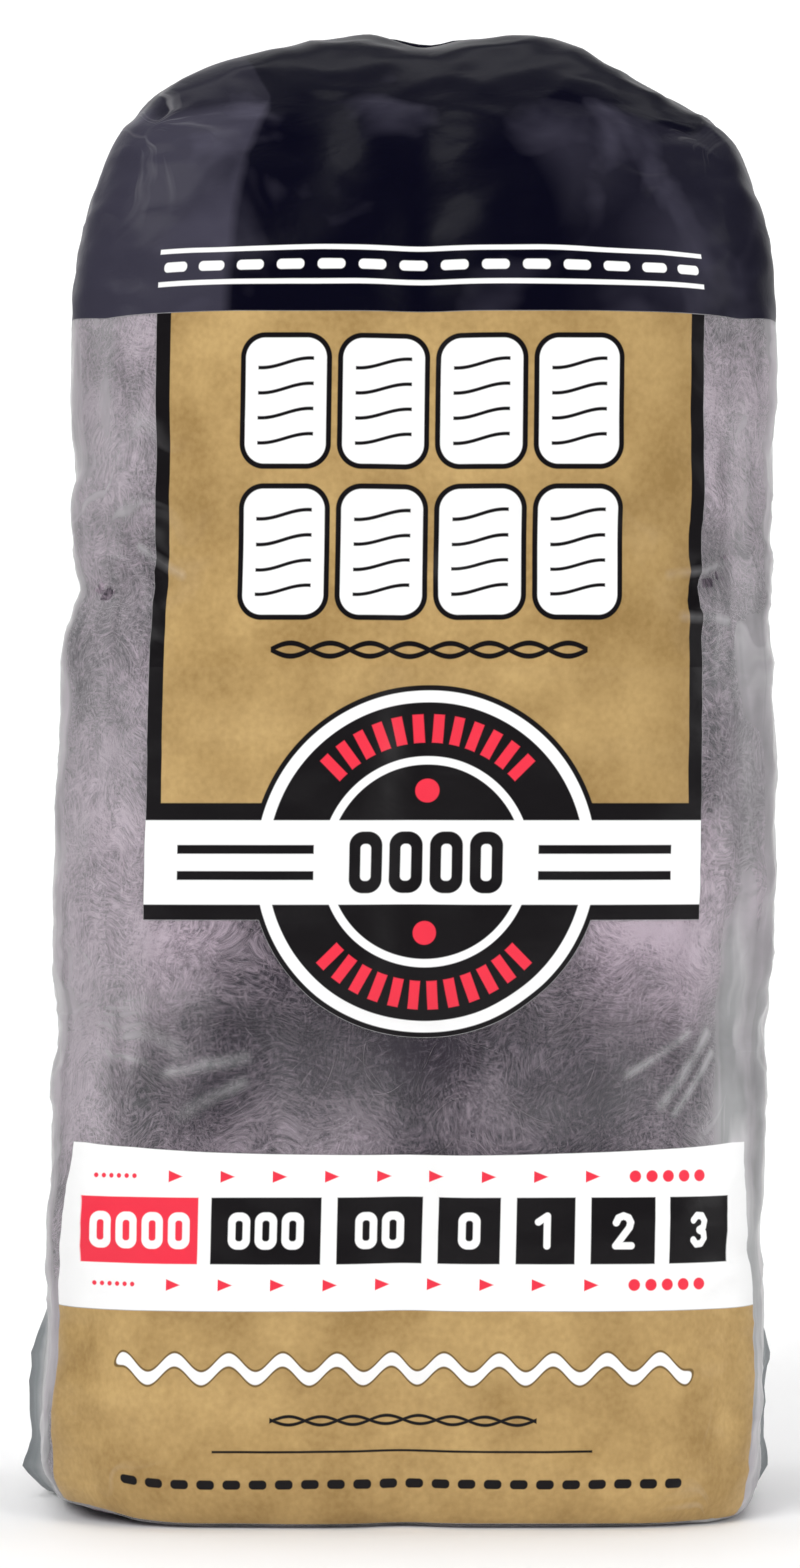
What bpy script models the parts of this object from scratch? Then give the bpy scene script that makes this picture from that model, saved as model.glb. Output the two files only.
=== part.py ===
"""A clear film bag packed tight with twelve steel wool pads, standing upright on its base.

The pads are stacked as plain blocks in two columns, three rows and two layers, and the film is a
box around them. One function, settle, then moves every point of both from that square packing to
where it lies in the filled bag: rounded in plan, domed at the top, drawn in at the joints between
pads, leaning a little to the right and dented where the film is slack. So the pads always fit the
film, whatever their size.

+Z is up, the printed front faces -Y, +X is to the right of someone who looks at the front, and
the origin is the middle of the base. All lengths are in metres.
"""

import math

import bmesh
import bpy
from mathutils import Vector

NAME = "bagged_steel_wool_pads"

# One pad, before it is squeezed into the bag
PAD_WIDTH = 0.0628
PAD_HEIGHT = 0.0830
PAD_DEPTH = 0.0345
PAD_EDGE = 0.12  # where the cage of a pad is cut, as a share of its width and height from each end

# How the pads are packed, from left to right, from the base up and from the front back
COLUMNS = ("left", "right")
ROWS = ("bottom", "middle", "top")
LAYERS = ("front", "back")
CLEARANCE = 0.0003  # between a pad and the pad or the film that it rests against

# The film
FILM_THICKNESS = 0.0001
FILM_SLACK = 0.0005  # how far the film stands off the pads at the front, back and sides
HEAD_ROOM = 0.0082  # empty film above the pads
CELL = 0.0125  # the longest stretch of film without a cut in its cage

# How the filled bag rounds off
PLAN_POWER = 5.0  # squareness of the bag seen from above
DOME_POWER = 2.7  # squareness of the shoulders seen from the front
DOME_HEIGHT = 0.0600
TAPER = 0.028  # how much narrower the bag is at the top, as a share
TUCK_HEIGHT = 0.0090  # the rounded edge around the base
TUCK_DEPTH = 0.0030

# How the film draws in between the pads
PINCH_SIDE = 0.0016
PINCH_FRONT = 0.0018
PINCH_REACH = 0.0060
GROOVE_DEPTH = 0.0022  # the upright valley between the two columns
GROOVE_REACH = 0.0065
VALLEY_DEPTH = 0.0026  # the dip between the columns in the top
LEAN = 0.0044  # how far the top stands to the right of the base
LEAN_BEND = 0.6  # how much more of that lean is low down, as a share

# Slack places: across, up, depth and reach of each dent in the front
DENTS = (
    (-0.0520, 0.1620, 0.0045, 0.0085),
    (0.0530, 0.1580, 0.0055, 0.0085),
    (-0.0460, 0.0740, 0.0040, 0.0100),
    (0.0420, 0.0760, 0.0038, 0.0130),
    (-0.0200, 0.2330, 0.0022, 0.0110),
    (0.0360, 0.2280, 0.0020, 0.0120),
)

# Ears: the corners of the bottom weld, which stick out at half depth.
# Height above the base and reach beyond the side, as shares of the ear's height and reach.
EAR_HEIGHT = 0.0370
EAR_REACH = {"left": 0.0048, "right": 0.0026}
EAR_THICKNESS = 0.0012
EAR_SHAPE = ((0.0, 0.50), (0.14, 1.0), (0.28, 0.62), (0.42, 0.70), (0.68, 0.66), (1.0, 0.0))

# The top flap: the welded end of the bag, folded down over the back of the top
FLAP_WIDTH = 0.0900
FLAP_LENGTH = 0.0150
FLAP_THICKNESS = 0.0009
FLAP_GAP = 0.0009  # between the flap and the film under it
FLAP_ROOT = 0.0030  # how far behind the middle the flap starts

# The air hole, punched through the back film only
VENT_RADIUS = 0.0025
VENT_HEIGHT = 0.2080
VENT_SIDES = 20

# The print on the front: heights of the fields above the base
PANEL_TOP = 0.0370
BAND_TOP = 0.0650
STRIP_BOTTOM = 0.1028
BAR_BOTTOM = 0.1054
BAR_TOP = 0.1196
GOLD_BOTTOM = 0.1225
GOLD_TOP = 0.2054
FRAME_HALF = 0.0498
GOLD_HALF = 0.0466
WRAP = 0.0075  # how far the widest fields run round the corners, onto the sides

# The round badge behind the bar
BADGE_RADIUS = 0.0298
BADGE_HEIGHT = 0.1126
BADGE_RIM = 0.0009
BADGE_RING = 0.0020

# The grade boxes in the white band: left and right edge of each, the first one red
BOX_BOTTOM = 0.0452
BOX_TOP = 0.0574
BOXES = (
    (-0.0620, -0.0390),
    (-0.0372, -0.0178),
    (-0.0152, -0.0010),
    (0.0014, 0.0124),
    (0.0150, 0.0262),
    (0.0286, 0.0402),
    (0.0426, 0.0570),
)

# What the sizes above come to
BLOCK_WIDTH = len(COLUMNS) * PAD_WIDTH + (len(COLUMNS) - 1) * CLEARANCE
BLOCK_DEPTH = len(LAYERS) * PAD_DEPTH + (len(LAYERS) - 1) * CLEARANCE
BLOCK_HEIGHT = len(ROWS) * PAD_HEIGHT + (len(ROWS) - 1) * CLEARANCE
FLOOR = FILM_THICKNESS + CLEARANCE  # where the lowest pads start
HALF_WIDTH = BLOCK_WIDTH / 2 + FILM_SLACK + FILM_THICKNESS
HALF_DEPTH = BLOCK_DEPTH / 2 + FILM_SLACK + FILM_THICKNESS
FILM_TOP = FLOOR + BLOCK_HEIGHT + HEAD_ROOM
SHOULDER = FILM_TOP - DOME_HEIGHT
ROW_JOINTS = [FLOOR + row * (PAD_HEIGHT + CLEARANCE) - CLEARANCE / 2 for row in range(1, len(ROWS))]

# Colours and finishes
FINISHES = {
    "clear_film": dict(color=(0.78, 0.80, 0.81), roughness=0.16, metallic=0.0, alpha=0.22),
    "navy_ink": dict(color=(0.006, 0.006, 0.018), roughness=0.24, metallic=0.0, alpha=1.0),
    "black_ink": dict(color=(0.004, 0.003, 0.004), roughness=0.28, metallic=0.0, alpha=1.0),
    "white_ink": dict(color=(0.84, 0.84, 0.84), roughness=0.26, metallic=0.0, alpha=1.0),
    "gold_ink": dict(color=(0.50, 0.34, 0.13), roughness=0.28, metallic=0.0, alpha=1.0),
    "red_ink": dict(color=(0.80, 0.03, 0.06), roughness=0.26, metallic=0.0, alpha=1.0),
    "steel_wool": dict(color=(0.30, 0.27, 0.29), roughness=0.55, metallic=0.75, alpha=1.0),
}
INKS = [name for name in FINISHES if name != "steel_wool"]


def clear_scene():
    for thing in list(bpy.data.objects):
        bpy.data.objects.remove(thing, do_unlink=True)


def make_collection(name):
    collection = bpy.data.collections.new(name)
    bpy.context.scene.collection.children.link(collection)
    return collection


def make_material(name):
    finish = FINISHES[name]
    material = bpy.data.materials.new(name)
    material.use_nodes = True
    shader = material.node_tree.nodes["Principled BSDF"]
    shader.inputs["Base Color"].default_value = (*finish["color"], 1.0)
    shader.inputs["Roughness"].default_value = finish["roughness"]
    shader.inputs["Metallic"].default_value = finish["metallic"]
    shader.inputs["Alpha"].default_value = finish["alpha"]
    material.diffuse_color = (*finish["color"], finish["alpha"])
    return material


def row_pinch(height):
    """How near a height is to a joint between two rows of pads, from 0 to 1."""
    return sum(math.exp(-(((height - joint) / PINCH_REACH) ** 2)) for joint in ROW_JOINTS)


def round_off(x, y, z):
    """Rounds the square packing in plan, and over the shoulders into a dome."""
    across, deep = abs(x) / HALF_WIDTH, abs(y) / HALF_DEPTH
    rise = max(0.0, z - SHOULDER) / DOME_HEIGHT
    plan = (across**PLAN_POWER + deep**PLAN_POWER) ** (1 / PLAN_POWER)
    whole = (plan**DOME_POWER + rise**DOME_POWER) ** (1 / DOME_POWER)
    if whole == 0:
        return x, y, z
    pull = max(across, deep, rise) / whole
    if rise > 0:
        z = SHOULDER + (z - SHOULDER) * pull
    return x * pull, y * pull, z


def tuck_in(x, y, z):
    """Draws the sides in around the base, so that the bag stands on a rounded edge."""
    lift = max(0.0, 1 - z / TUCK_HEIGHT)
    return x * (1 - TUCK_DEPTH / HALF_WIDTH * lift**2), y * (1 - TUCK_DEPTH / HALF_DEPTH * lift**2)


def draw_in(x, y, z):
    """Draws the film and pads in at the joints between rows and between columns."""
    near_row = row_pinch(z)
    near_column = math.exp(-((x / GROOVE_REACH) ** 2))
    near_side = (x / HALF_WIDTH) ** 4
    narrow = 1 - PINCH_SIDE / HALF_WIDTH * near_row * near_side
    shallow = 1 - (PINCH_FRONT * near_row + GROOVE_DEPTH * near_column) / HALF_DEPTH
    rise = max(0.0, z - SHOULDER) / DOME_HEIGHT
    return x * narrow, y * shallow, z - VALLEY_DEPTH * near_column * rise**2


def press_dents(x, y, z):
    """Presses the slack places of the front inwards; what lies deeper moves less."""
    if y >= 0:
        return y
    for across, up, depth, reach in DENTS:
        off = ((x - across) ** 2 + (z - up) ** 2) / reach**2
        y *= 1 - depth / HALF_DEPTH * math.exp(-off)
    return y


def settle(point):
    """Moves a point of the square packing to where it lies in the filled bag."""
    x, y, z = round_off(*point)
    x, y = tuck_in(x, y, z)
    x, y, z = draw_in(x, y, z)
    y = press_dents(x, y, z)
    share = min(max(z / FILM_TOP, 0.0), 1.0)
    x = x * (1 - TAPER * share**2) + LEAN * share * (1 + LEAN_BEND * (1 - share))
    return Vector((x, y, z))


def settle_mesh(bm):
    for vert in bm.verts:
        vert.co = settle(vert.co)


def finish_object(bm, name, collection):
    bmesh.ops.recalc_face_normals(bm, faces=bm.faces)
    mesh = bpy.data.meshes.new(name)
    bm.to_mesh(mesh)
    bm.free()
    mesh.shade_smooth()
    thing = bpy.data.objects.new(name, mesh)
    collection.objects.link(thing)
    return thing


def make_box(low, high):
    """A plain box between two corners, from Blender's cube."""
    bm = bmesh.new()
    bmesh.ops.create_cube(bm, size=1.0)
    low, high = Vector(low), Vector(high)
    bmesh.ops.scale(bm, vec=high - low, verts=bm.verts)
    bmesh.ops.translate(bm, vec=(high + low) / 2, verts=bm.verts)
    return bm


def cut(bm, axis, place, faces=None):
    """Cuts the faces along one plane across X, Y or Z; all of them where none are given."""
    faces = list(bm.faces) if faces is None else faces
    edges = {edge for face in faces for edge in face.edges}
    verts = {vert for face in faces for vert in face.verts}
    normal, origin = Vector((0, 0, 0)), Vector((0, 0, 0))
    normal[axis], origin[axis] = 1.0, place
    bmesh.ops.bisect_plane(
        bm, geom=[*verts, *edges, *faces], dist=1e-6, plane_co=origin, plane_no=normal
    )


def spaced(low, high, marks):
    """The marks between low and high, and even steps of at most one cell between them."""
    stops = [low, *sorted(mark for mark in marks if low < mark < high), high]
    places = []
    for start, end in zip(stops, stops[1:]):
        steps = math.ceil((end - start) / CELL - 1e-9)
        places += [start + (end - start) * step / steps for step in range(steps)]
    return places[1:]


def make_pad(column, row, layer, material, collection):
    """One pad: a soft block from a coarse cage, squeezed into its place in the bag."""
    low = Vector((
        -BLOCK_WIDTH / 2 + column * (PAD_WIDTH + CLEARANCE),
        -BLOCK_DEPTH / 2 + layer * (PAD_DEPTH + CLEARANCE),
        FLOOR + row * (PAD_HEIGHT + CLEARANCE),
    ))
    high = low + Vector((PAD_WIDTH, PAD_DEPTH, PAD_HEIGHT))
    bm = make_box(low, high)
    cut(bm, 1, low.y + PAD_DEPTH / 2)
    for share in (PAD_EDGE, 1 - PAD_EDGE):
        cut(bm, 0, low.x + PAD_WIDTH * share)
        cut(bm, 2, low.z + PAD_HEIGHT * share)
    if row == len(ROWS) - 1:
        cut(bm, 2, low.z + PAD_HEIGHT / 2)  # so that it follows the dome
    settle_mesh(bm)
    name = f"pad_{LAYERS[layer]}_{COLUMNS[column]}_{ROWS[row]}"
    pad = finish_object(bm, name, collection)
    pad.data.materials.append(material)
    soften = pad.modifiers.new("soften", "SUBSURF")
    soften.levels = 1
    soften.render_levels = 1
    return pad


def front_faces(bm):
    return [face for face in bm.faces if face.normal.y < -0.99]


def in_field(face, left, right, bottom, top):
    middle = face.calc_center_median()
    return left < middle.x < right and bottom < middle.z < top


def shape_badge(bm):
    """Rounds the cells around the badge into a disc, and insets its rim and ring."""
    centre = Vector((0.0, -HALF_DEPTH, BADGE_HEIGHT))
    front = front_faces(bm)
    disc = [face for face in front if (face.calc_center_median() - centre).length < BADGE_RADIUS]
    outside = {vert for face in front if face not in disc for vert in face.verts}
    for vert in {vert for face in disc for vert in face.verts} & outside:
        spoke = vert.co - centre
        vert.co = centre + spoke * (BADGE_RADIUS / spoke.length)
    rim = bmesh.ops.inset_region(bm, faces=disc, thickness=BADGE_RIM)["faces"]
    ring = bmesh.ops.inset_region(bm, faces=disc, thickness=BADGE_RING)["faces"]
    return disc + rim, ring


def paint_field(bm, slot, left, right, bottom, top):
    for face in front_faces(bm):
        if in_field(face, left, right, bottom, top):
            face.material_index = slot


def paint_front(bm):
    """Gives each field of the print its ink; what is left unpainted is clear film."""
    ink = {name: slot for slot, name in enumerate(INKS)}
    black, ring = shape_badge(bm)
    paint_field(bm, ink["gold_ink"], -HALF_WIDTH, HALF_WIDTH, 0.0, PANEL_TOP)
    paint_field(bm, ink["white_ink"], -HALF_WIDTH, HALF_WIDTH, PANEL_TOP, BAND_TOP)
    paint_field(bm, ink["black_ink"], -FRAME_HALF, FRAME_HALF, STRIP_BOTTOM, GOLD_TOP)
    paint_field(bm, ink["gold_ink"], -GOLD_HALF, GOLD_HALF, GOLD_BOTTOM, GOLD_TOP)
    paint_field(bm, ink["navy_ink"], -HALF_WIDTH, HALF_WIDTH, GOLD_TOP, FILM_TOP)
    for number, (left, right) in enumerate(BOXES):
        slot = ink["red_ink" if number == 0 else "black_ink"]
        paint_field(bm, slot, left, right, BOX_BOTTOM, BOX_TOP)
    for face in black:
        face.material_index = ink["black_ink"]
    for face in ring:
        face.material_index = ink["white_ink"]
    paint_field(bm, ink["white_ink"], -FRAME_HALF, FRAME_HALF, BAR_BOTTOM, BAR_TOP)
    for face in (face for face in bm.faces if abs(face.normal.x) > 0.99):
        middle = face.calc_center_median()
        if middle.y < 0 and middle.z > GOLD_TOP:
            face.material_index = ink["navy_ink"]
        elif middle.y < WRAP - HALF_DEPTH and middle.z < BAND_TOP:
            face.material_index = ink["gold_ink" if middle.z < PANEL_TOP else "white_ink"]
    for face in (face for face in bm.faces if face.normal.z > 0.99):
        if face.calc_center_median().y < FLAP_ROOT + FLAP_THICKNESS:
            face.material_index = ink["navy_ink"]


def cut_boxes(bm):
    """Cuts the edges of the grade boxes into the white band alone."""
    def band():
        return [
            face for face in front_faces(bm)
            if in_field(face, -HALF_WIDTH, HALF_WIDTH, PANEL_TOP, BAND_TOP)
        ]
    for height in (BOX_BOTTOM, BOX_TOP):
        cut(bm, 2, height, band())
    for edge in {edge for box in BOXES for edge in box}:
        cut(bm, 0, edge, band())


def ear_reach(share):
    """The ear's reach at a share of its height, between the points of its shape."""
    for (low, start), (high, end) in zip(EAR_SHAPE, EAR_SHAPE[1:]):
        if share <= high:
            return start + (end - start) * (share - low) / (high - low)
    return 0.0


def pull_ear(bm, side, reach):
    """Pulls the strip of film at half depth out into a thin ear beside the base."""
    strip = [
        face for face in bm.faces
        if face.normal.x * side > 0.99
        and abs(face.calc_center_median().y) < EAR_THICKNESS / 2
        and face.calc_center_median().z < EAR_HEIGHT
    ]
    made = bmesh.ops.extrude_face_region(bm, geom=strip)["geom"]
    bmesh.ops.delete(bm, geom=strip, context="FACES")
    for vert in (item for item in made if isinstance(item, bmesh.types.BMVert)):
        vert.co.x += side * max(reach * ear_reach(vert.co.z / EAR_HEIGHT), FILM_THICKNESS)


def push_faces(bm, faces, step):
    """Pushes faces out along a step, and returns them where they end."""
    made = bmesh.ops.extrude_face_region(bm, geom=faces)["geom"]
    bmesh.ops.delete(bm, geom=faces, context="FACES")
    verts = [item for item in made if isinstance(item, bmesh.types.BMVert)]
    bmesh.ops.translate(bm, vec=step, verts=verts)
    return [item for item in made if isinstance(item, bmesh.types.BMFace)]


def fold_flap(bm):
    """Raises the welded end out of the top and folds it back over the film."""
    root = [
        face for face in bm.faces
        if face.normal.z > 0.99
        and FLAP_ROOT < face.calc_center_median().y < FLAP_ROOT + FLAP_THICKNESS
        and abs(face.calc_center_median().x) < FLAP_WIDTH / 2
    ]
    neck = push_faces(bm, root, Vector((0, 0, FLAP_GAP)))
    push_faces(bm, neck, Vector((0, 0, FLAP_THICKNESS)))
    bmesh.ops.recalc_face_normals(bm, faces=bm.faces)
    bm.normal_update()
    back = [
        face for face in bm.faces
        if face.normal.y > 0.99 and face.calc_center_median().z > FILM_TOP + FLAP_GAP
    ]
    steps = math.ceil(FLAP_LENGTH / CELL)
    for _ in range(steps):
        back = push_faces(bm, back, Vector((0, FLAP_LENGTH / steps, 0)))


def make_film(materials, cutter, collection):
    """The bag: a box of film cut into cells, painted, pulled into ears and flap, then settled."""
    bm = make_box((-HALF_WIDTH, -HALF_DEPTH, 0), (HALF_WIDTH, HALF_DEPTH, FILM_TOP))
    edges = (BADGE_RADIUS, GOLD_HALF, FRAME_HALF, HALF_WIDTH - WRAP, FLAP_WIDTH / 2)
    across = [0.0] + [edge * side for edge in edges for side in (-1, 1)]
    deep = [-EAR_THICKNESS / 2, EAR_THICKNESS / 2, FLAP_ROOT, FLAP_ROOT + FLAP_THICKNESS]
    deep += [WRAP - HALF_DEPTH, HALF_DEPTH - WRAP]
    up = [PANEL_TOP, BAND_TOP, STRIP_BOTTOM, BAR_BOTTOM, BAR_TOP, GOLD_BOTTOM, GOLD_TOP, EAR_HEIGHT]
    up += [EAR_HEIGHT * share for share, _ in EAR_SHAPE] + ROW_JOINTS
    for place in spaced(-HALF_WIDTH, HALF_WIDTH, across):
        cut(bm, 0, place)
    for place in spaced(-HALF_DEPTH, HALF_DEPTH, deep):
        cut(bm, 1, place)
    for place in spaced(0.0, FILM_TOP, set(up)):
        cut(bm, 2, place)
    bm.normal_update()
    cut_boxes(bm)
    paint_front(bm)
    pull_ear(bm, -1, EAR_REACH["left"])
    pull_ear(bm, 1, EAR_REACH["right"])
    fold_flap(bm)
    settle_mesh(bm)
    bmesh.ops.triangulate(bm, faces=[face for face in bm.faces if len(face.verts) > 4])
    film = finish_object(bm, "film_bag", collection)
    for name in INKS:
        film.data.materials.append(materials[name])
    wall = film.modifiers.new("wall", "SOLIDIFY")
    wall.thickness = FILM_THICKNESS
    wall.offset = -1.0
    punch = film.modifiers.new("vent", "BOOLEAN")
    punch.operation = "DIFFERENCE"
    punch.object = cutter
    return film


def make_vent_cutter(collection):
    """A short punch that goes through the back film and stops before the pads' middle."""
    bm = bmesh.new()
    bmesh.ops.create_cone(
        bm, cap_ends=True, segments=VENT_SIDES, radius1=VENT_RADIUS, radius2=VENT_RADIUS,
        depth=HALF_DEPTH,
    )
    cutter = finish_object(bm, "vent_cutter", collection)
    cutter.rotation_euler = (math.pi / 2, 0, 0)
    cutter.location = (0, HALF_DEPTH, VENT_HEIGHT)
    cutter.hide_render = True
    cutter.display_type = "WIRE"
    return cutter


def main():
    clear_scene()
    parts = make_collection(NAME)
    cutters = make_collection("cutters")
    materials = {name: make_material(name) for name in FINISHES}
    make_film(materials, make_vent_cutter(cutters), parts)
    for column in range(len(COLUMNS)):
        for row in range(len(ROWS)):
            for layer in range(len(LAYERS)):
                make_pad(column, row, layer, materials["steel_wool"], parts)


main()
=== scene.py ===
"""Looks of the bagged steel wool pads: crumpled printed film over twelve pads of matted strands.

The film and the pads start as a square packing, as in the CAD source, and the same function, settle,
moves both to where they lie in the filled bag. Film and pads keep their place in the square packing
as a point attribute named flat, which the print and the grain of the wool are drawn on.
All lengths are in metres: +Z is up and the printed front faces -Y.
"""

import math
import random
from functools import reduce

import bmesh
import bpy
import numpy as np
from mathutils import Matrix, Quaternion, Vector, noise
from mathutils.bvhtree import BVHTree


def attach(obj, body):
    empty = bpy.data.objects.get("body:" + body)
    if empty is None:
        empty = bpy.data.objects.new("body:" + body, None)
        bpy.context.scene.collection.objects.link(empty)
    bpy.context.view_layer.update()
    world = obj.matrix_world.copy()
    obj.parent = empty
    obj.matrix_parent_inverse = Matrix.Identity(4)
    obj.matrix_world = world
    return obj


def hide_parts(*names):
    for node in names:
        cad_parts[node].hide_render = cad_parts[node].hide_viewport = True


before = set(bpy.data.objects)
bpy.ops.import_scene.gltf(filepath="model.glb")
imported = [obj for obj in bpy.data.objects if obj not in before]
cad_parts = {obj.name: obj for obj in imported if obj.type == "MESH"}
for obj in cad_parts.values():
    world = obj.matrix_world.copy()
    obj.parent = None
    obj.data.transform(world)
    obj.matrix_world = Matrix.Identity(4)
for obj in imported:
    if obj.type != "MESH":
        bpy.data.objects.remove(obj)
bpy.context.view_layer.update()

# The square packing, as in the CAD source
PAD_SIZE = np.array([0.0628, 0.0345, 0.0830])
COLUMNS = ("left", "right")
ROWS = ("bottom", "middle", "top")
LAYERS = ("front", "back")
CLEARANCE = 0.0003
FILM_THICKNESS = 0.0001
FILM_SLACK = 0.0005
HEAD_ROOM = 0.0082

COUNTS = np.array([len(COLUMNS), len(LAYERS), len(ROWS)])
BLOCK = COUNTS * PAD_SIZE + (COUNTS - 1) * CLEARANCE
FLOOR = FILM_THICKNESS + CLEARANCE
HALF_WIDTH = BLOCK[0] / 2 + FILM_SLACK + FILM_THICKNESS
HALF_DEPTH = BLOCK[1] / 2 + FILM_SLACK + FILM_THICKNESS
FILM_TOP = FLOOR + BLOCK[2] + HEAD_ROOM
ROW_JOINTS = [FLOOR + row * (PAD_SIZE[2] + CLEARANCE) - CLEARANCE / 2 for row in range(1, len(ROWS))]

# How the filled bag settles, as in the CAD source
PLAN_POWER = 5.0
DOME_POWER = 2.7
DOME_HEIGHT = 0.0600
TAPER = 0.028
SHOULDER = FILM_TOP - DOME_HEIGHT
TUCK_HEIGHT = 0.0090
TUCK_DEPTH = 0.0030
PINCH_SIDE = 0.0016
PINCH_FRONT = 0.0018
PINCH_REACH = 0.0060
GROOVE_DEPTH = 0.0022
GROOVE_REACH = 0.0065
VALLEY_DEPTH = 0.0026
LEAN = 0.0044
LEAN_BEND = 0.6
DENTS = (
    (-0.0520, 0.1620, 0.0045, 0.0085),
    (0.0530, 0.1580, 0.0055, 0.0085),
    (-0.0460, 0.0740, 0.0040, 0.0100),
    (0.0420, 0.0760, 0.0038, 0.0130),
    (-0.0200, 0.2330, 0.0022, 0.0110),
    (0.0360, 0.2280, 0.0020, 0.0120),
)

# Where the filled bag gives way a little more than the CAD's: its shoulders sink (across, depth,
# reach), its sides are drawn in (side, height, depth, reach) and one base corner lifts off (across,
# height, reach). SIDE_EASE draws the sides in at every height. The powers say how fast the
# drawing-in grows from the middle to the sides.
SLUMPS = (
    (-0.0320, 0.0028, 0.0180),
    (0.0115, 0.0012, 0.0060),
    (0.0435, 0.0056, 0.0140),
)
SIDE_PULLS = (
    (-1, 0.1800, 0.0024, 0.0070),
    (-1, 0.1575, 0.0020, 0.0050),
    (1, 0.1550, 0.0018, 0.0055),
    (1, 0.0530, 0.0012, 0.0130),
)
SIDE_EASE = 0.0010
EASE_POWER = 6
PULL_POWER = 4
CORNER_LIFT = (-0.0600, 0.0040, 0.0120)
LIFT_LIMIT = 0.0300  # no lift above this height

# The film's mesh and its folds
FILM_CELL = 0.0025
VENT_RADIUS = 0.0025
VENT_HEIGHT = 0.2080
EAR_HEIGHT = 0.0370
EAR_REACH = {-1: 0.0050, 1: 0.0036}
EAR_SHAPE = ((0.0, 0.50), (0.14, 1.0), (0.28, 0.62), (0.42, 0.70), (0.68, 0.66), (1.0, 0.0))
EAR_PINCH = 0.0024
FLAP_WIDTH = 0.0900
FLAP_LENGTH = 0.0150
FLAP_THICKNESS = 0.0009
FLAP_GAP = 0.0009
FLAP_ROOT = 0.0030
FLAP_CELL = (0.0022, 0.0004)
CRIMP_PITCH = 0.0016  # of the ribs that the weld left in the flap
CRIMP_HIGH = 0.00022
FLAP_WAVE = (0.009, 3, 0.07)  # size and seed of its waves, and their height by its length
FILM_WAVE = (0.026, 1, 0.0010)  # long soft waves in film and wool: size, seed and height
RIDGES = (0.013, 2, 0.0015)  # small crumples, where the film is loose
PRESS_IN = 0.0003  # how far they go in, before the wool holds them
STAND_HEIGHT = 0.0040  # below this the film is held still by the floor

# How loose the film is everywhere, at the sides, at the joints there, at the top and at the base
LOOSE = 0.20
LOOSE_SIDE = 0.30
LOOSE_JOINT = 0.55
LOOSE_TOP = 0.30
LOOSE_BASE = 0.50
JOINT_SPREAD = 0.0120
SIDE_FROM = 0.0400
TOP_FROM = 0.2350
LOOSE_FADE = 0.0200

# Creases pressed or raised in the front: from x, z to x, z, then height (negative is in) and width
CREASES = (
    (0.0500, 0.1560, 0.0585, 0.1680, -0.0022, 0.0022),
    (0.0470, 0.1540, 0.0600, 0.1530, 0.0012, 0.0016),
    (0.0440, 0.1610, 0.0600, 0.1630, 0.0010, 0.0014),
    (-0.0580, 0.1600, -0.0440, 0.1580, -0.0018, 0.0022),
    (-0.0520, 0.1660, -0.0420, 0.1610, 0.0010, 0.0016),
    (-0.0430, 0.0768, -0.0280, 0.0795, 0.0014, 0.0020),
    (-0.0400, 0.0695, -0.0285, 0.0755, 0.0014, 0.0020),
    (-0.0560, 0.0740, -0.0400, 0.0720, -0.0018, 0.0026),
    (0.0440, 0.0712, 0.0550, 0.0835, 0.0016, 0.0018),
    (0.0468, 0.0700, 0.0560, 0.0800, 0.0012, 0.0014),
    (0.0375, 0.0765, 0.0500, 0.0835, 0.0010, 0.0015),
    (0.0300, 0.0720, 0.0420, 0.0760, -0.0014, 0.0026),
)

# The print, in the square packing: heights of the fields and half widths
PANEL_TOP = 0.0370
BAND_TOP = 0.0650
STRIP_BOTTOM = 0.1028
BAR_BOTTOM = 0.1054
BAR_TOP = 0.1196
GOLD_BOTTOM = 0.1225
GOLD_TOP = 0.2054
FRAME_HALF = 0.0498
GOLD_HALF = 0.0466
WRAP = 0.0075
BASE_MARGIN = 0.0004  # bare film between the gold panel and the base
BAND_CUT = 0.0042  # how much narrower the white band is at its top than the panel
BAND_SAG = 0.0018
BLUR = 0.00018  # softness of a printed edge
PRINT_SHIFT = 0.0018  # how far right of the middle the frame, the badge and the bar are printed

# The round badge: radii and half widths of its rings, its ticks and its two dots
BADGE_HEIGHT = 0.1126
BADGE_RADIUS = 0.0298
BADGE_RINGS = ((0.0279, 0.0010), (0.0171, 0.0007))
TICK_TURN = 2 * math.pi / 44
TICK_RADIUS = 0.0225
TICK_SIZE = (0.0009, 0.0024)
TICK_LIMIT = math.tan(6 * TICK_TURN)  # they end at this slant to both sides of the upright
DOT_OFFSET = 0.0120
DOT_RADIUS = 0.0020

# The two pairs of rules beside the grade figure: where they are, and their half sizes
RULES = (0.0310, 0.0022)
RULE_SIZE = (0.0120, 0.00075)

# Figures: half width, half height and width of the line of a nought, then pitches and strokes
BAR_FIGURE = (0.0028, 0.0052, 0.0019)
BAR_PITCH = 0.0068
BOX_FIGURE = (0.00185, 0.0031, 0.00125)
FIGURE_PITCH = (0.0046, 0.0045)
FIGURE_HIGH = 0.0062
FIGURE_STROKE = 0.0006
FIGURE_NARROW = (1, 1, 1.15)  # how much narrower than drawn the figures 1, 2 and 3 are

# The scale is printed wider towards the corners, so that it looks even from the front: its
# places across are as seen from there. The share is how much wider it is at the reach.
EVEN_SHARE = 0.138
EVEN_REACH = 0.065

# The grade boxes: left and right edge of each, the first one red
BOX_BOTTOM = 0.0449
BOX_TOP = 0.0561
BOXES = (
    (-0.0556, -0.0353),
    (-0.0331, -0.0146),
    (-0.0119, 0.0025),
    (0.0052, 0.0156),
    (0.0183, 0.0282),
    (0.0309, 0.0419),
    (0.0445, 0.0552),
)

RED_MARGIN = 0.0008  # how far past the first box the ink of the boxes is red

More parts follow.
